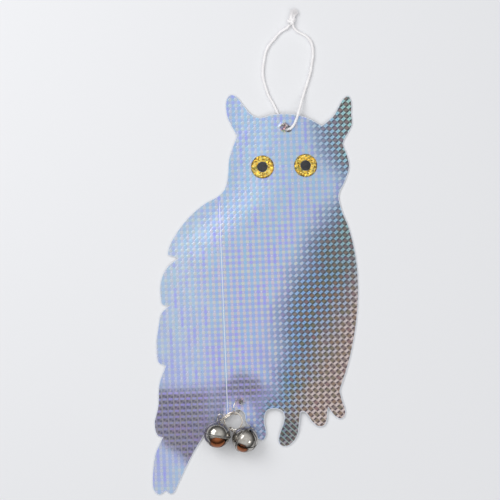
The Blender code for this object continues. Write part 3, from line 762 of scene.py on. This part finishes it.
# the film's shaded side: the same film in painted shade, with a lighter painted edge and painted patches of
# shade
paintedShadeColours = {
    "cells": (96, 142, 198), "tealCells": (122, 180, 178), "greyCells": (146, 158, 182),
    "pinkCells": (182, 166, 168), "litCells": (92, 148, 226),
    "rims": (152, 184, 220), "tealRims": (178, 210, 202), "pinkRims": (232, 216, 208),
    "litRims": (142, 192, 238),
    "middles": ((0.0, (108, 106, 86)), (0.3, (124, 110, 90)), (0.6, (130, 104, 86)), (0.8, (110, 104, 110)),
                (1.0, (136, 100, 106))),
    "tealMiddles": (124, 116, 124), "pinkMiddles": (146, 126, 116),
    # the dark ground between the cells, painted shade
    "paintedShadeGround": (44, 58, 64), "violetPaintedShadeGround": (64, 58, 76), "pinkPaintedShadeGround": (88, 66, 72),
    "threads": (136, 162, 176), "lowThreads": (112, 168, 182), "tealThreads": (170, 194, 184),
    "pinkThreads": (206, 190, 180), "paintedRightShade": (62, 76, 84), "paintedEdgeLight": (142, 172, 228),
    "paintedFootShade": (48, 54, 68), "paintedFootShadeThreads": (84, 150, 148),
}
# the painted band of shade, with painted shadows by its dashes
bandShades = {
    "ground": ((0.36, (112, 108, 132)), (0.5, (122, 118, 116)), (0.64, (124, 108, 134))),
    "lines": (154, 148, 166), "shadows": (54, 54, 78), "dashes": (146, 148, 204),
    "violetDashes": (144, 132, 214),
}
# painted glints and painted shade on the film's facets round the holes
paintedGlintColours = ((0.0, (40, 46, 40)), (0.22, (96, 76, 66)), (0.40, (126, 118, 160)), (0.56, (190, 184, 130)),
               (0.70, (104, 146, 108)), (0.84, (196, 144, 150)))
seamShade = (228, 228, 234)
backLook = {
    "silver": (170, 180, 204), "bright": (186, 192, 206), "raised": (204, 204, 208),
    "dust": (206, 202, 196), "emboss": (0.2, 0.0004),
}
edgeLook = {"fresh": (226, 232, 242), "dull": (204, 210, 222), "grain": 1500, "fibres": (0.15, 0.0001)}


def paintedLitFilm(desk, grid, wide, tall, slow, drift):
    # the painted lit side, a painted reflection: beige dots on a blue plaid with small painted lilac glints;
    # cyan at the head, violet towards the tail
    look = paintedLitColours
    crisp, level = desk.rise(grid["Columns"], 0.33, 0.70), desk.rise(grid["Rows"], 0.30, 0.72)
    hue = desk.chance(desk.sum("FLOOR", grid["Across"]), desk.sum("ROUND", desk.times(grid["Along"], 0.3)))
    dots = desk.mix(look["dotSides"], desk.ramp(grid["Random"], *look["dots"]), crisp)
    gaps = desk.mix(desk.ramp(hue, *look["blues"]), look["dotEnds"], crisp)
    return desk.layers(
        gaps,
        (dots, level),
        (look["head"], desk.rise(tall, 0.5, 0.85), 0.4),
        # painted light, lighter towards the left edge
        (look["cool"], desk.rise(desk.scaled(slow, 0.3, wide), 0.22, 0.55, 0.5, 0.0)),
        (look["violet"], desk.rise(tall, 0.60, 0.30), desk.rise(slow, 0.35, 0.62, 0.1, 0.5),
         desk.rise(grid["Columns"], 0.9, 0.3, 0.3, 1.0)),
        (look["bands"], desk.rise(desk.wave(grid["Across"], 0.5), 0.55, 0.95), desk.rise(hue, 0.7, 0.9),
         desk.rise(drift, 0.35, 0.65, 0.1, 0.6)),
        (look["glints"], desk.rise(desk.times(grid["Columns"], desk.wave(grid["Along"], 0.5)), 0.72, 0.95),
         desk.rise(grid["Between"], 0.3, 1.0, 0.0, 0.8)),
    )


def paintedShadedFilm(desk, grid, place, wide, tall, drift, past):
    # the painted shaded side: blue, teal or pink cells with pale rims and smaller brown ones, on a dark
    # ground of painted shade with pale threads
    look = paintedShadeColours
    pink = desk.rise(desk.plus(desk.minus(wide, tall), desk.times(drift, 0.2)), 0.42, 0.68)
    teal = desk.rise(desk.scaled(wide, 0.5, tall), 0.90, 1.22)
    low = desk.rise(tall, 0.46, 0.20)
    lit = desk.rise(past, 0.0, 0.17, 0.6, 0.0)  # bluest where the painted shaded side starts
    rims = desk.layers(look["rims"], (look["tealRims"], teal), (look["pinkRims"], pink),
                       (look["litRims"], lit))
    cells = desk.layers(
        look["cells"],
        (look["tealCells"], teal),
        (look["greyCells"], desk.rise(grid["Random"], 0.4, 1.0, 0.0, 0.4)),
        (look["pinkCells"], pink),
        (look["litCells"], lit),
        (rims, desk.rise(grid["Rims"], 0.25, 0.75, 0.0, 0.85)),
    )
    middles = desk.layers(desk.ramp(grid["Between"], *look["middles"]), (look["tealMiddles"], teal, 0.5),
                          (look["pinkMiddles"], pink, 0.4))
    # the dark ground between the cells is painted shade
    paintedShadeGround = desk.layers(look["paintedShadeGround"], (look["violetPaintedShadeGround"], grid["Between"]), (look["pinkPaintedShadeGround"], pink, 0.6))
    threads = desk.layers(look["threads"], (look["lowThreads"], low), (look["tealThreads"], teal),
                          (look["pinkThreads"], pink))
    drawn = desk.sum("MAXIMUM", desk.scaled(pink, 0.3, 0.38), desk.scaled(low, 0.42, 0.38))
    shrunk = desk.times(desk.sum("MAXIMUM", pink, low), desk.rise(grid["Rims"], 0.60, 0.95, 0.0, 0.7))
    return desk.layers(
        paintedShadeGround,
        (threads, grid["Threads"], drawn),
        (middles, grid["Middles"]),
        (cells, grid["Cells"], desk.minus(1.0, shrunk)),
        # a painted patch of shade at the right
        (look["paintedRightShade"], desk.spot(place, filmLook["paintedRightShade"], *filmLook["paintedRightShadeReach"]), 0.20),
    )


def paintedShadeBand(desk, grid, wide, tall, drift):
    # a painted band of shade: lavender dashes, each with a painted shadow below it and one above, between
    # thin pale upright lines
    look = bandShades
    shadows = []
    for across, along in filmLook["bandShadows"]:
        cast = desk.times(desk.wave(grid["Across"], across), desk.wave(grid["Along"], along))
        shadows.append(desk.rise(cast, 0.48, 0.85))
    dashes = desk.times(desk.rise(grid["Rows"], 0.50, 0.88), desk.rise(grid["Columns"], 0.05, 0.40))
    near = desk.rise(desk.scaled(wide, 0.12, tall), 0.17, 0.30, 0.45, 0.95)
    return desk.layers(
        desk.ramp(drift, *look["ground"]),
        (look["lines"], desk.rise(grid["Columns"], 0.12, 0.01, 0.0, 0.6)),
        (look["shadows"], desk.sum("MAXIMUM", *shadows), 0.62),
        (desk.mix(look["dashes"], look["violetDashes"], grid["Random"]), dashes, near),
    )


def filmMaterial():
    material, desk, shader = newMaterial("reflectiveFilm", Metallic=0.55, Coat_Weight=0.35,
                                         Coat_Roughness=0.22)
    look = filmLook
    place = desk.place()
    x, y, _ = desk.split(place)
    wide = desk.scaled(x, 1 / panel["width"], 0.5)  # shares of the panel's width and height, from 0 to 1
    tall = desk.scaled(y, 1 / panel["height"], 0.5)
    grid = desk.use(cellGrid, Place=place, Pitch=look["pitch"], Turn=look["turn"])
    slow, drift = desk.noise(place, 34), desk.noise(place, 90)

    # where the painted shaded side starts, first between the dots and then over all
    past = desk.minus(desk.plus(wide, desk.scaled(slow, 0.12, -0.06)), desk.path(tall, look["darkEdge"]))
    paintedShadeShare = desk.rise(desk.scaled(grid["Cells"], -0.05, past), look["darkStart"], look["darkFull"])
    # the painted shaded side, made lighter by painted light near its edge
    dark = desk.mix(paintedShadedFilm(desk, grid, place, wide, tall, drift, past), paintedShadeColours["paintedEdgeLight"],
                    desk.rise(past, *look["paintedEdgeLight"], 0.38, 0.0))
    # a painted patch of shade by the foot, with its threads
    paintedFootShade = desk.mix(paintedShadeColours["paintedFootShade"], paintedShadeColours["paintedFootShadeThreads"], grid["Threads"])

    blend = look["bandBlend"]
    uneven = desk.scaled(drift, 0.02, tall)
    under = desk.rise(desk.minus(uneven, desk.path(wide, look["bandTop"])), blend, -blend * 0.5)
    over = desk.rise(desk.minus(uneven, desk.path(wide, look["bandLow"])), -blend * 0.5, blend)

    seamWide = look["seamWidth"] / look["pitch"] / 2
    away = desk.sum("ABSOLUTE", desk.minus(grid["Across"], look["seam"] / look["pitch"]))
    # the painted lit side, then the painted shaded side, a painted patch of shade, the painted band of shade
    # and the seam
    colour = desk.layers(
        paintedLitFilm(desk, grid, wide, tall, slow, drift),
        (dark, paintedShadeShare),
        (paintedFootShade, desk.spot(place, look["paintedFootShade"], *look["paintedFootShadeReach"]), 0.56),
        (paintedShadeBand(desk, grid, wide, tall, drift), under, over, desk.minus(0.92, paintedShadeShare),
         desk.path(wide, look["bandShare"])),
        (seamShade, desk.rise(away, seamWide * 0.6, seamWide * 1.5, 0.85, 0.0),
         desk.rise(tall, *look["seamTop"])),
    )

    # painted glints and painted shade on the crumpled film beside the cord's hole, and painted glints round
    # the lower hole
    facets = desk.use(flakes, Place=place, **look["facets"])
    paintedGlints = desk.ramp(facets["Random"], *paintedGlintColours)
    for middle, inner, outer, share in look["paintedGlintSpots"]:
        centre = (*middle, boardRise(*middle) + panel["filmBase"])
        colour = desk.mix(colour, paintedGlints, desk.spot(place, centre, inner, outer), share)

    wear = desk.use(handling, Place=place, Size=0.003)
    emboss = desk.bump(grid["Height"], *look["emboss"])
    desk.feed(shader, Base_Color=colour, Roughness=desk.scaled(wear["Smudges"], 0.12, 0.24),
              Normal=desk.bump(wear["Scratches"], *look["scratches"], Normal=emboss))
    return material


def silverMaterial():
    material, desk, shader = newMaterial("silverBack", Metallic=0.6)
    place = desk.place()
    grid = desk.use(cellGrid, Place=place, Pitch=filmLook["pitch"], Turn=filmLook["turn"])
    wear = desk.use(handling, Place=place, Size=0.004)
    colour = desk.layers(
        backLook["silver"],
        (backLook["bright"], desk.rise(desk.noise(place, 30), 0.35, 0.65)),
        (backLook["raised"], grid["Height"], 0.45),
        (backLook["dust"], wear["Dust"], 0.3),
    )
    desk.feed(shader, Base_Color=colour, Roughness=desk.scaled(wear["Smudges"], 0.14, 0.26),
              Normal=desk.bump(grid["Height"], *backLook["emboss"]))
    return material


def boardEdgeMaterial():
    material, desk, shader = newMaterial("cutBoardEdge", Metallic=0.0)
    grain = desk.noise(desk.place(), edgeLook["grain"], 3.0)
    colour = desk.mix(edgeLook["fresh"], edgeLook["dull"], desk.rise(grain, 0.35, 0.7))
    desk.feed(shader, Base_Color=colour, Roughness=desk.rise(grain, 0.3, 0.7, 0.35, 0.55),
              Normal=desk.bump(grain, *edgeLook["fibres"]))
    return material


def makePanel():
    outline = roundOutline(cutEdge("owl_board"))
    punched = [outline, roundLoop(cordHole), roundLoop(bellHole)]
    mesh = sheetMesh("silverBoard", punched, boardRise, panel["boardThickness"])
    board = addObject("silverBoard", mesh, silverMaterial(), boardEdgeMaterial())
    for face in mesh.polygons:
        if face.normal.z > -0.5:  # the cut edge, and the front where no film covers it
            face.material_index = 1
    settle(board, "panel", "owl_board")
    trimmed = [inset(outline, panel["rim"]), roundLoop(cordHole, panel["holeRim"]),
               roundLoop(bellHole, panel["holeRim"])]
    mesh = sheetMesh("mosaicFilm", trimmed, filmRise, panel["filmThickness"])
    settle(addObject("mosaicFilm", mesh, filmMaterial()), "panel", "front_film")


makePanel()
print("panel made")


# Eyes: gold glitter rings with dark foil discs

eye = {
    "irisRadius": 0.0109, "pupilRadius": 0.0048, "fit": 0.0002, "thickness": 0.0005, "base": 0.00127,
    "sectors": 96, "rings": 6, "ragged": 0.00016, "raggedWaves": ((3, 1.0), (9, 0.6)), "raggedFrom": 0.9,
    "roundEdge": 0.0004, "edgeBend": (0.3, 0.12), "darkRim": (0.0017, 0.0002),
    "darkEnd": (0.0130, 0.0125),
    "golds": ((0.0, (150, 100, 16)), (0.14, (206, 146, 34)), (0.32, (238, 188, 50)), (0.60, (246, 210, 84)),
              (0.8, (252, 240, 158)), (0.94, (204, 202, 92))),
    "flakeEdges": (110, 76, 16), "rimShade": (86, 54, 20),
    "largeFlakes": {"Size": 0.00135, "Tilt": 1.1}, "smallFlakes": {"Size": 0.0006, "Tilt": 1.3},
    "foil": (32, 32, 36), "paleFoil": (47, 47, 52), "foilGlints": (84, 82, 78),
    "foilGrain": {"Size": 0.0004, "Tilt": 0.35},
}


def eyeCentres():
    centres = []
    for side in ("left", "right"):
        low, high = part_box(f"{side}_eye_iris")
        middle = (low + high) / 2
        centres.append((middle.x, middle.y, boardRise(middle.x, middle.y) + eye["base"]))
    return centres


def glitterMaterial():
    material, desk, shader = newMaterial("goldGlitter", Metallic=0.75, Coat_Weight=0.3, Coat_Roughness=0.15)
    place = desk.place()
    large = desk.use(flakes, Place=place, **eye["largeFlakes"])
    small = desk.use(flakes, Place=place, **eye["smallFlakes"])
    colour = desk.layers(
        desk.ramp(large["Random"], *eye["golds"]),
        (desk.ramp(small["Random"], *eye["golds"]), 0.42),
        (eye["flakeEdges"], small["Edges"], 0.22),
    )
    spots = desk.scaled(desk.rise(desk.noise(place, 420), 0.42, 0.6), 0.55, 0.35)
    start, end = (eye["irisRadius"] - inwards for inwards in eye["darkRim"])
    for centre in eyeCentres():
        away = desk.vector("DISTANCE", place, centre)
        rim = desk.times(desk.rise(away, start, end), desk.rise(away, *eye["darkEnd"]))
        colour = desk.mix(colour, eye["rimShade"], rim, spots)
    desk.feed(shader, Base_Color=colour, Normal=large["Normal"],
              Roughness=desk.rise(small["Random"], 0.0, 1.0, 0.2, 0.45))
    return material


def pupilMaterial():
    material, desk, shader = newMaterial("darkFoil", Specular_IOR_Level=0.3, Coat_Weight=0.1,
                                         Coat_Roughness=0.15)
    place = desk.place()
    grain = desk.use(flakes, Place=place, **eye["foilGrain"])
    colour = desk.layers(
        eye["foil"],
        (eye["paleFoil"], desk.rise(desk.noise(place, 300), 0.4, 0.6)),
        (eye["foilGlints"], desk.rise(grain["Random"], 0.75, 1.0, 0.0, 0.5)),
    )
    desk.feed(shader, Base_Color=colour, Normal=grain["Normal"],
              Roughness=desk.rise(grain["Random"], 0.0, 1.0, 0.3, 0.5))
    return material


def discMesh(name, centre, inner, outer, seed):
    # a thin disc or ring with rounded edges, laid on the bow of the panel
    shape = bmesh.new()
    soft, thick, count = eye["roundEdge"], eye["thickness"], eye["sectors"]
    inwards, below = eye["edgeBend"]
    edge = [(0, 0), (0, thick - soft / 2), (soft * inwards, thick - soft * below)]
    flat = [(mixed(inner + soft, outer - soft, i / eye["rings"]), thick) for i in range(eye["rings"] + 1)]
    profile = [(inner + step, high) for step, high in edge] + flat
    if inner == 0:
        profile = [(0, thick)] + flat[1:]
    profile += [(outer - step, high) for step, high in reversed(edge)]
    loops = []
    for radius, high in profile:
        loop = []
        for k in range(count if radius else 1):
            turn = 2 * math.pi * k / count
            cosine, sine = math.cos(turn), math.sin(turn)
            rough = sum(share * noise.noise(Vector((waves * cosine, waves * sine, seed)))
                        for waves, share in eye["raggedWaves"])
            far = radius + eye["ragged"] * rough * (radius > outer * eye["raggedFrom"])
            x, y = centre[0] + far * cosine, centre[1] + far * sine
            loop.append(shape.verts.new((x, y, boardRise(x, y) + eye["base"] + high)))
        loops.append(loop)
    if inner == 0:
        loops.append([shape.verts.new((centre[0], centre[1], boardRise(*centre[:2]) + eye["base"]))])
    else:
        loops.append(loops[0])
    for a, b in zip(loops, loops[1:]):
        for k in range(count):
            n = (k + 1) % count
            corners = [a[k % len(a)], a[n % len(a)], b[n % len(b)], b[k % len(b)]]
            shape.faces.new(list(dict.fromkeys(corners)))
    return meshFrom(shape, name)


def makeEyes():
    gold, foil = glitterMaterial(), pupilMaterial()
    for seed, (side, centre) in enumerate(zip(("left", "right"), eyeCentres())):
        ring = discMesh(f"{side}Iris", centre, eye["pupilRadius"] + eye["fit"], eye["irisRadius"], seed)
        settle(addObject(f"{side}Iris", ring, gold), "panel", f"{side}_eye_iris")
        disc = discMesh(f"{side}Pupil", centre, 0, eye["pupilRadius"], seed + 5)
        settle(addObject(f"{side}Pupil", disc, foil), "panel", f"{side}_eye_pupil")


makeEyes()
print("eyes made")


# Wire rings

wire = {
    "points": 120, "sides": 16, "endShare": 0.72, "endRound": 0.5,
    "fresh": (250, 242, 230), "dull": (222, 210, 194), "rough": 0.17,
    "rings": (("jump_ring", "jump_ring", 0.0010), ("bell_ring_left", "ring_left", 0.0012),
              ("bell_ring_right", "ring_right", 0.0012)),  # node, body and thickness
}
plating = {  # on rings and bells; all but the dust and the scratches is the painted orange reflection on the petals
    "dust": (130, 121, 110), "scratches": (0.05, 0.00005),
    "patchSize": 300, "patches": 1.1, "most": 0.92, "dulling": 0.04,
    "paintedReflectionShades": ((0.25, (46, 25, 17)), (0.6, (96, 47, 17)), (1.0, (150, 79, 26))),
}


def nickelMaterial(name, look, paintsReflection=False):
    # polished nickel plate between a fresh and a dull shade, with a painted orange reflection on the bells'
    # petals
    material, desk, shader = newMaterial(name, Metallic=1.0)
    place = desk.place()
    wear = desk.use(handling, Place=place, Size=0.0012)
    colour = desk.layers(
        look["fresh"],
        (look["dull"], desk.rise(desk.noise(place, 260, 3.0), 0.35, 0.7)),
        (plating["dust"], wear["Dust"], 0.25),
    )
    rough = look["rough"]
    # the petals' orange is a painted reflection, strongest on the side it faces
    if paintsReflection:
        paintedReflection = desk.put("ShaderNodeAttribute", attribute_name="paintedPetalReflection").outputs["Fac"]
        patches = desk.scaled(desk.noise(place, plating["patchSize"], 4.0, 0.6), plating["patches"],
                              -plating["patches"] / 2)
        paintedReflection = desk.times(desk.plus(paintedReflection, patches), desk.rise(paintedReflection, 0.0, 0.2))
        colour = desk.mix(colour, desk.ramp(paintedReflection, *plating["paintedReflectionShades"]),
                          desk.rise(paintedReflection, 0.04, 0.55, 0.0, plating["most"]))
        rough = desk.rise(paintedReflection, 0.1, 0.6, rough, rough + plating["dulling"])
    worn = desk.scaled(wear["Scratches"], 0.15, desk.scaled(wear["Smudges"], 0.10, rough))
    desk.feed(shader, Base_Color=colour, Roughness=worn,
              Normal=desk.bump(wear["Scratches"], *plating["scratches"]))
    return material


def ringShape(node):
    # centre, two directions in the ring's plane, radius and where its butt joint is, from the solid
    points = np.array([v.co for v in nodes[node].data.vertices], float)
    axes = np.linalg.svd(points - points.mean(0))[2]
    first, second = Vector(axes[0]), Vector(axes[1])
    flat = np.column_stack([points @ axes[0], points @ axes[1]])
    equations = np.column_stack([2 * flat, np.ones(len(flat))])
    fitted = np.linalg.lstsq(equations, (flat ** 2).sum(1), rcond=None)[0]
    depth = (points @ axes[2]).mean()
    centre = first * fitted[0] + second * fitted[1] + Vector(axes[2]) * depth
    reach = np.hypot(flat[:, 0] - fitted[0], flat[:, 1] - fitted[1])
    turns = np.sort(np.arctan2(flat[:, 1] - fitted[1], flat[:, 0] - fitted[0]))
    gaps = np.diff(np.append(turns, turns[0] + 2 * math.pi))
    widest = int(gaps.argmax())
    radius = float(reach.min() + reach.max()) / 2
    return centre, first, second, radius, float(turns[widest]), float(gaps[widest])


def makeRings():
    finish = nickelMaterial("nickelWire", wire)
    for node, body, thickness in wire["rings"]:
        centre, first, second, radius, seam, gap = ringShape(node)
        line = []
        for i in range(wire["points"] + 1):
            turn = seam + gap + (2 * math.pi - gap) * i / wire["points"]
            line.append(centre + radius * (first * math.cos(turn) + second * math.sin(turn)))
        thick, whole = thickness / 2, lineLength(line)

        def radiusAt(reach, turn, thick=thick, whole=whole):  # the cut ends are slightly rounded
            rounding = ease(min(reach, whole - reach) / (thick * wire["endRound"]))
            return thick * mixed(wire["endShare"], 1, rounding)

        shape = bmesh.new()
        sweep(shape, line, radiusAt, wire["sides"])
        name = node.replace("_", "") + "Wire"
        settle(addObject(name, meshFrom(shape, name), finish), body, node)


makeRings()
print("rings made")


# Bells

bell = {
    "radius": 0.0125, "wall": 0.0005, "flangeRadius": 0.0133, "flange": 0.0007, "seam": 0.0003,
    "segments": 96, "arcSteps": 26, "lipSteps": 8, "drillSides": 32, "weld": 0.000004,
    "crease": math.radians(50),
    "fillet": 0.0003, "filletSteps": ((0.00008, 0.0001), (0.00022, 0)),
    "slotWidth": 0.0011, "slotEndRadius": 0.0014, "slotEndDrop": 0.0030, "overrun": 0.001,
    "legSpread": 0.0023, "legHole": 0.0008, "legHoleDepth": 0.002,
    "slotTurn": {"left": math.radians(48), "right": math.radians(53)},
    # where the painted orange reflection on the petals faces, how far it reaches and how it fades
    "paintedReflectionSide": {"left": (0.05, -0.66, 0.74), "right": (-0.30, -0.68, 0.62)},
    "paintedReflectionReach": {"left": math.radians(49), "right": math.radians(41)}, "paintedReflectionFade": math.radians(26),
    "paintedReflectionStart": (0.09, 0.06),  # how far below the seam it starts, and over how much it grows, in radii
    "fresh": (184, 181, 176), "dull": (166, 162, 155), "rough": 0.07,
    "steel": (176, 176, 178), "dullSteel": (140, 136, 130),
}


def bellFrame(side):
    # the bell's centre, and its own axes: X along the hanger's eye, Z towards the crown
    corners = [corner for half in ("upper", "lower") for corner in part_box(f"bell_{side}_{half}")]
    low, high = (Vector([pick(c[i] for c in corners) for i in range(3)]) for pick in (min, max))
    centre = (low + high) / 2
    crown = (Vector(joints[f"{side}_bell_swing"]["pos_m"]) - centre).normalized()
    hanger = np.array([v.co for v in nodes[f"bell_{side}_hanger"].data.vertices], float)
    hanger -= hanger.mean(0)
    flat = hanger - np.outer(hanger @ np.array(crown), np.array(crown))
    legs = Vector(np.linalg.svd(flat)[2][0])
    legs = (legs - crown * legs.dot(crown)).normalized()
    return centre, legs.cross(crown), legs, crown


def shellMesh(name, sign):
    # half a bell turned round Z: dome, fillet, flange with a rounded lip, and the inside
    inner, low = bell["radius"] - bell["wall"], bell["seam"] / 2
    high, half, steps = low + bell["flange"], bell["flange"] / 2, bell["arcSteps"]
    rim = math.asin((high + bell["fillet"]) / bell["radius"])

    def arc(radius, start, end):
        turns = [mixed(start, end, i / steps) for i in range(steps + 1)]
        return [(radius * math.cos(a), radius * math.sin(a)) for a in turns]

    profile = arc(bell["radius"], math.pi / 2, rim)
    foot = profile[-1][0]
    profile += [(foot + out, high + rise) for out, rise in bell["filletSteps"]]
    for i in range(bell["lipSteps"] + 1):
        t = math.pi * i / bell["lipSteps"]
        profile.append((bell["flangeRadius"] - half * (1 - math.sin(t)), low + half + half * math.cos(t)))
    profile += arc(inner, math.asin(low / inner), math.pi / 2)
    shape = bmesh.new()
    corners = [shape.verts.new((max(r, 0), 0, sign * z)) for r, z in profile]
    edges = [shape.edges.new(pair) for pair in zip(corners, corners[1:])]
    bmesh.ops.spin(shape, geom=corners + edges, axis=up, cent=(0, 0, 0), angle=2 * math.pi,
                   steps=bell["segments"], use_merge=True, use_duplicate=False)
    bmesh.ops.remove_doubles(shape, verts=shape.verts[:], dist=bell["weld"])
    return meshFrom(shape, name, bell["crease"])


def cutFrom(target, name, mesh):
    tool = addObject(name, mesh)
    step = target.modifiers.new(name, "BOOLEAN")
    step.operation = "DIFFERENCE"
    step.solver = "EXACT"
    step.object = tool
    return tool


def drillMesh(radius, start, end):
    shape = bmesh.new()
    run = end - start
    bmesh.ops.create_cone(shape, cap_ends=True, segments=bell["drillSides"], radius1=radius, radius2=radius,
                          depth=run.length)
    aim = up.rotation_difference(run).to_matrix()
    bmesh.ops.rotate(shape, verts=shape.verts[:], cent=(0, 0, 0), matrix=aim)
    bmesh.ops.translate(shape, verts=shape.verts[:], vec=(start + end) / 2)
    return meshFrom(shape, "drill")


def slotMesh(turn):
    shape = bmesh.new()
    reach = bell["radius"] + bell["overrun"]
    depth = reach - bell["slotEndDrop"]
    bmesh.ops.create_cube(shape, size=1)
    bmesh.ops.scale(shape, verts=shape.verts[:], vec=(2 * reach, bell["slotWidth"], depth))
    bmesh.ops.translate(shape, verts=shape.verts[:], vec=(0, 0, -bell["slotEndDrop"] - depth / 2))
    bmesh.ops.rotate(shape, verts=shape.verts[:], cent=(0, 0, 0), matrix=Matrix.Rotation(turn, 3, "Z"))
    return meshFrom(shape, "slot")


def finishCuts(piece, tools):  # the cuts become part of the mesh and the tools go
    bpy.context.view_layer.update()
    cut = bpy.data.meshes.new_from_object(piece.evaluated_get(bpy.context.evaluated_depsgraph_get()))
    piece.modifiers.clear()
    piece.data = cut
    for tool in tools:
        bpy.data.objects.remove(tool, do_unlink=True)
    cut.shade_smooth()
    cut.set_sharp_from_angle(angle=bell["crease"])


def paintPetalReflection(mesh, place, side):
    # the painted orange reflection fades away from one side of the bell, and stops short of the flange
    paintedReflection = mesh.attributes.new("paintedPetalReflection", "FLOAT", "POINT")
    towards = Vector(bell["paintedReflectionSide"][side]).normalized()
    turn = place.to_3x3()
    start, grown = bell["paintedReflectionStart"]
    for i, vertex in enumerate(mesh.vertices):
        away = towards.angle((turn @ vertex.co).normalized())
        faded = ease((bell["paintedReflectionReach"][side] - away) / bell["paintedReflectionFade"])
        paintedReflection.data[i].value = faded * ease((-vertex.co.z / bell["radius"] - start) / grown)


def makeBell(side, nickel, petals):
    centre, eyeAxis, legs, crown = bellFrame(side)
    place = Matrix((eyeAxis, legs, crown)).transposed().to_4x4()
    place.translation = centre
    reach = bell["radius"] + bell["overrun"]

    upper = addObject(f"bellCrown_{side}", shellMesh(f"bellCrown_{side}", 1), nickel)
    tools = []
    for leg in (-1, 1):
        start = Vector((0, leg * bell["legSpread"], bell["radius"] - bell["legHoleDepth"]))
        end = Vector((0, leg * bell["legSpread"], reach))
        tools.append(cutFrom(upper, f"legHole{leg}", drillMesh(bell["legHole"], start, end)))
    finishCuts(upper, tools)

    lower = addObject(f"bellPetals_{side}", shellMesh(f"bellPetals_{side}", -1), petals)
    facing = (up - crown * crown.dot(up)).normalized()
    slotWay = Matrix.Rotation(bell["slotTurn"][side], 3, crown) @ facing
    firstTurn = math.atan2(slotWay.dot(legs), slotWay.dot(eyeAxis))
    tools = []
    for number, turn in enumerate((firstTurn, firstTurn + math.pi / 2)):
        tools.append(cutFrom(lower, f"slot{number}", slotMesh(turn)))
        end = Matrix.Rotation(turn, 3, "Z") @ Vector((reach, 0, 0))
        down = Vector((0, 0, -bell["slotEndDrop"]))
        ends = drillMesh(bell["slotEndRadius"], down - end, down + end)
        tools.append(cutFrom(lower, f"slotEnds{number}", ends))
    finishCuts(lower, tools)
    paintPetalReflection(lower.data, place, side)

    for piece, half in ((upper, "upper"), (lower, "lower")):
        piece.data.transform(place)
        settle(piece, f"bell_{side}", f"bell_{side}_{half}")


def makeBells():
    nickel = nickelMaterial("nickelPlate", bell)
    petals = nickelMaterial("nickelWithPaintedReflection", bell, paintsReflection=True)
    steel, desk, shader = newMaterial("bareSteel", Metallic=1.0)
    wear = desk.use(handling, Place=desk.place(), Size=0.001)
    desk.feed(shader, Base_Color=desk.mix(bell["steel"], bell["dullSteel"], wear["Smudges"]),
              Roughness=desk.scaled(wear["Dust"], 0.2, 0.3))
    for side in ("left", "right"):
        makeBell(side, nickel, petals)
        for node, finish in ((f"bell_{side}_hanger", nickel), (f"bell_{side}_pellet", steel)):
            nodes[node].data.materials.clear()
            nodes[node].data.materials.append(finish)
            nodes[node].data.shade_smooth()


makeBells()
print("bells made")
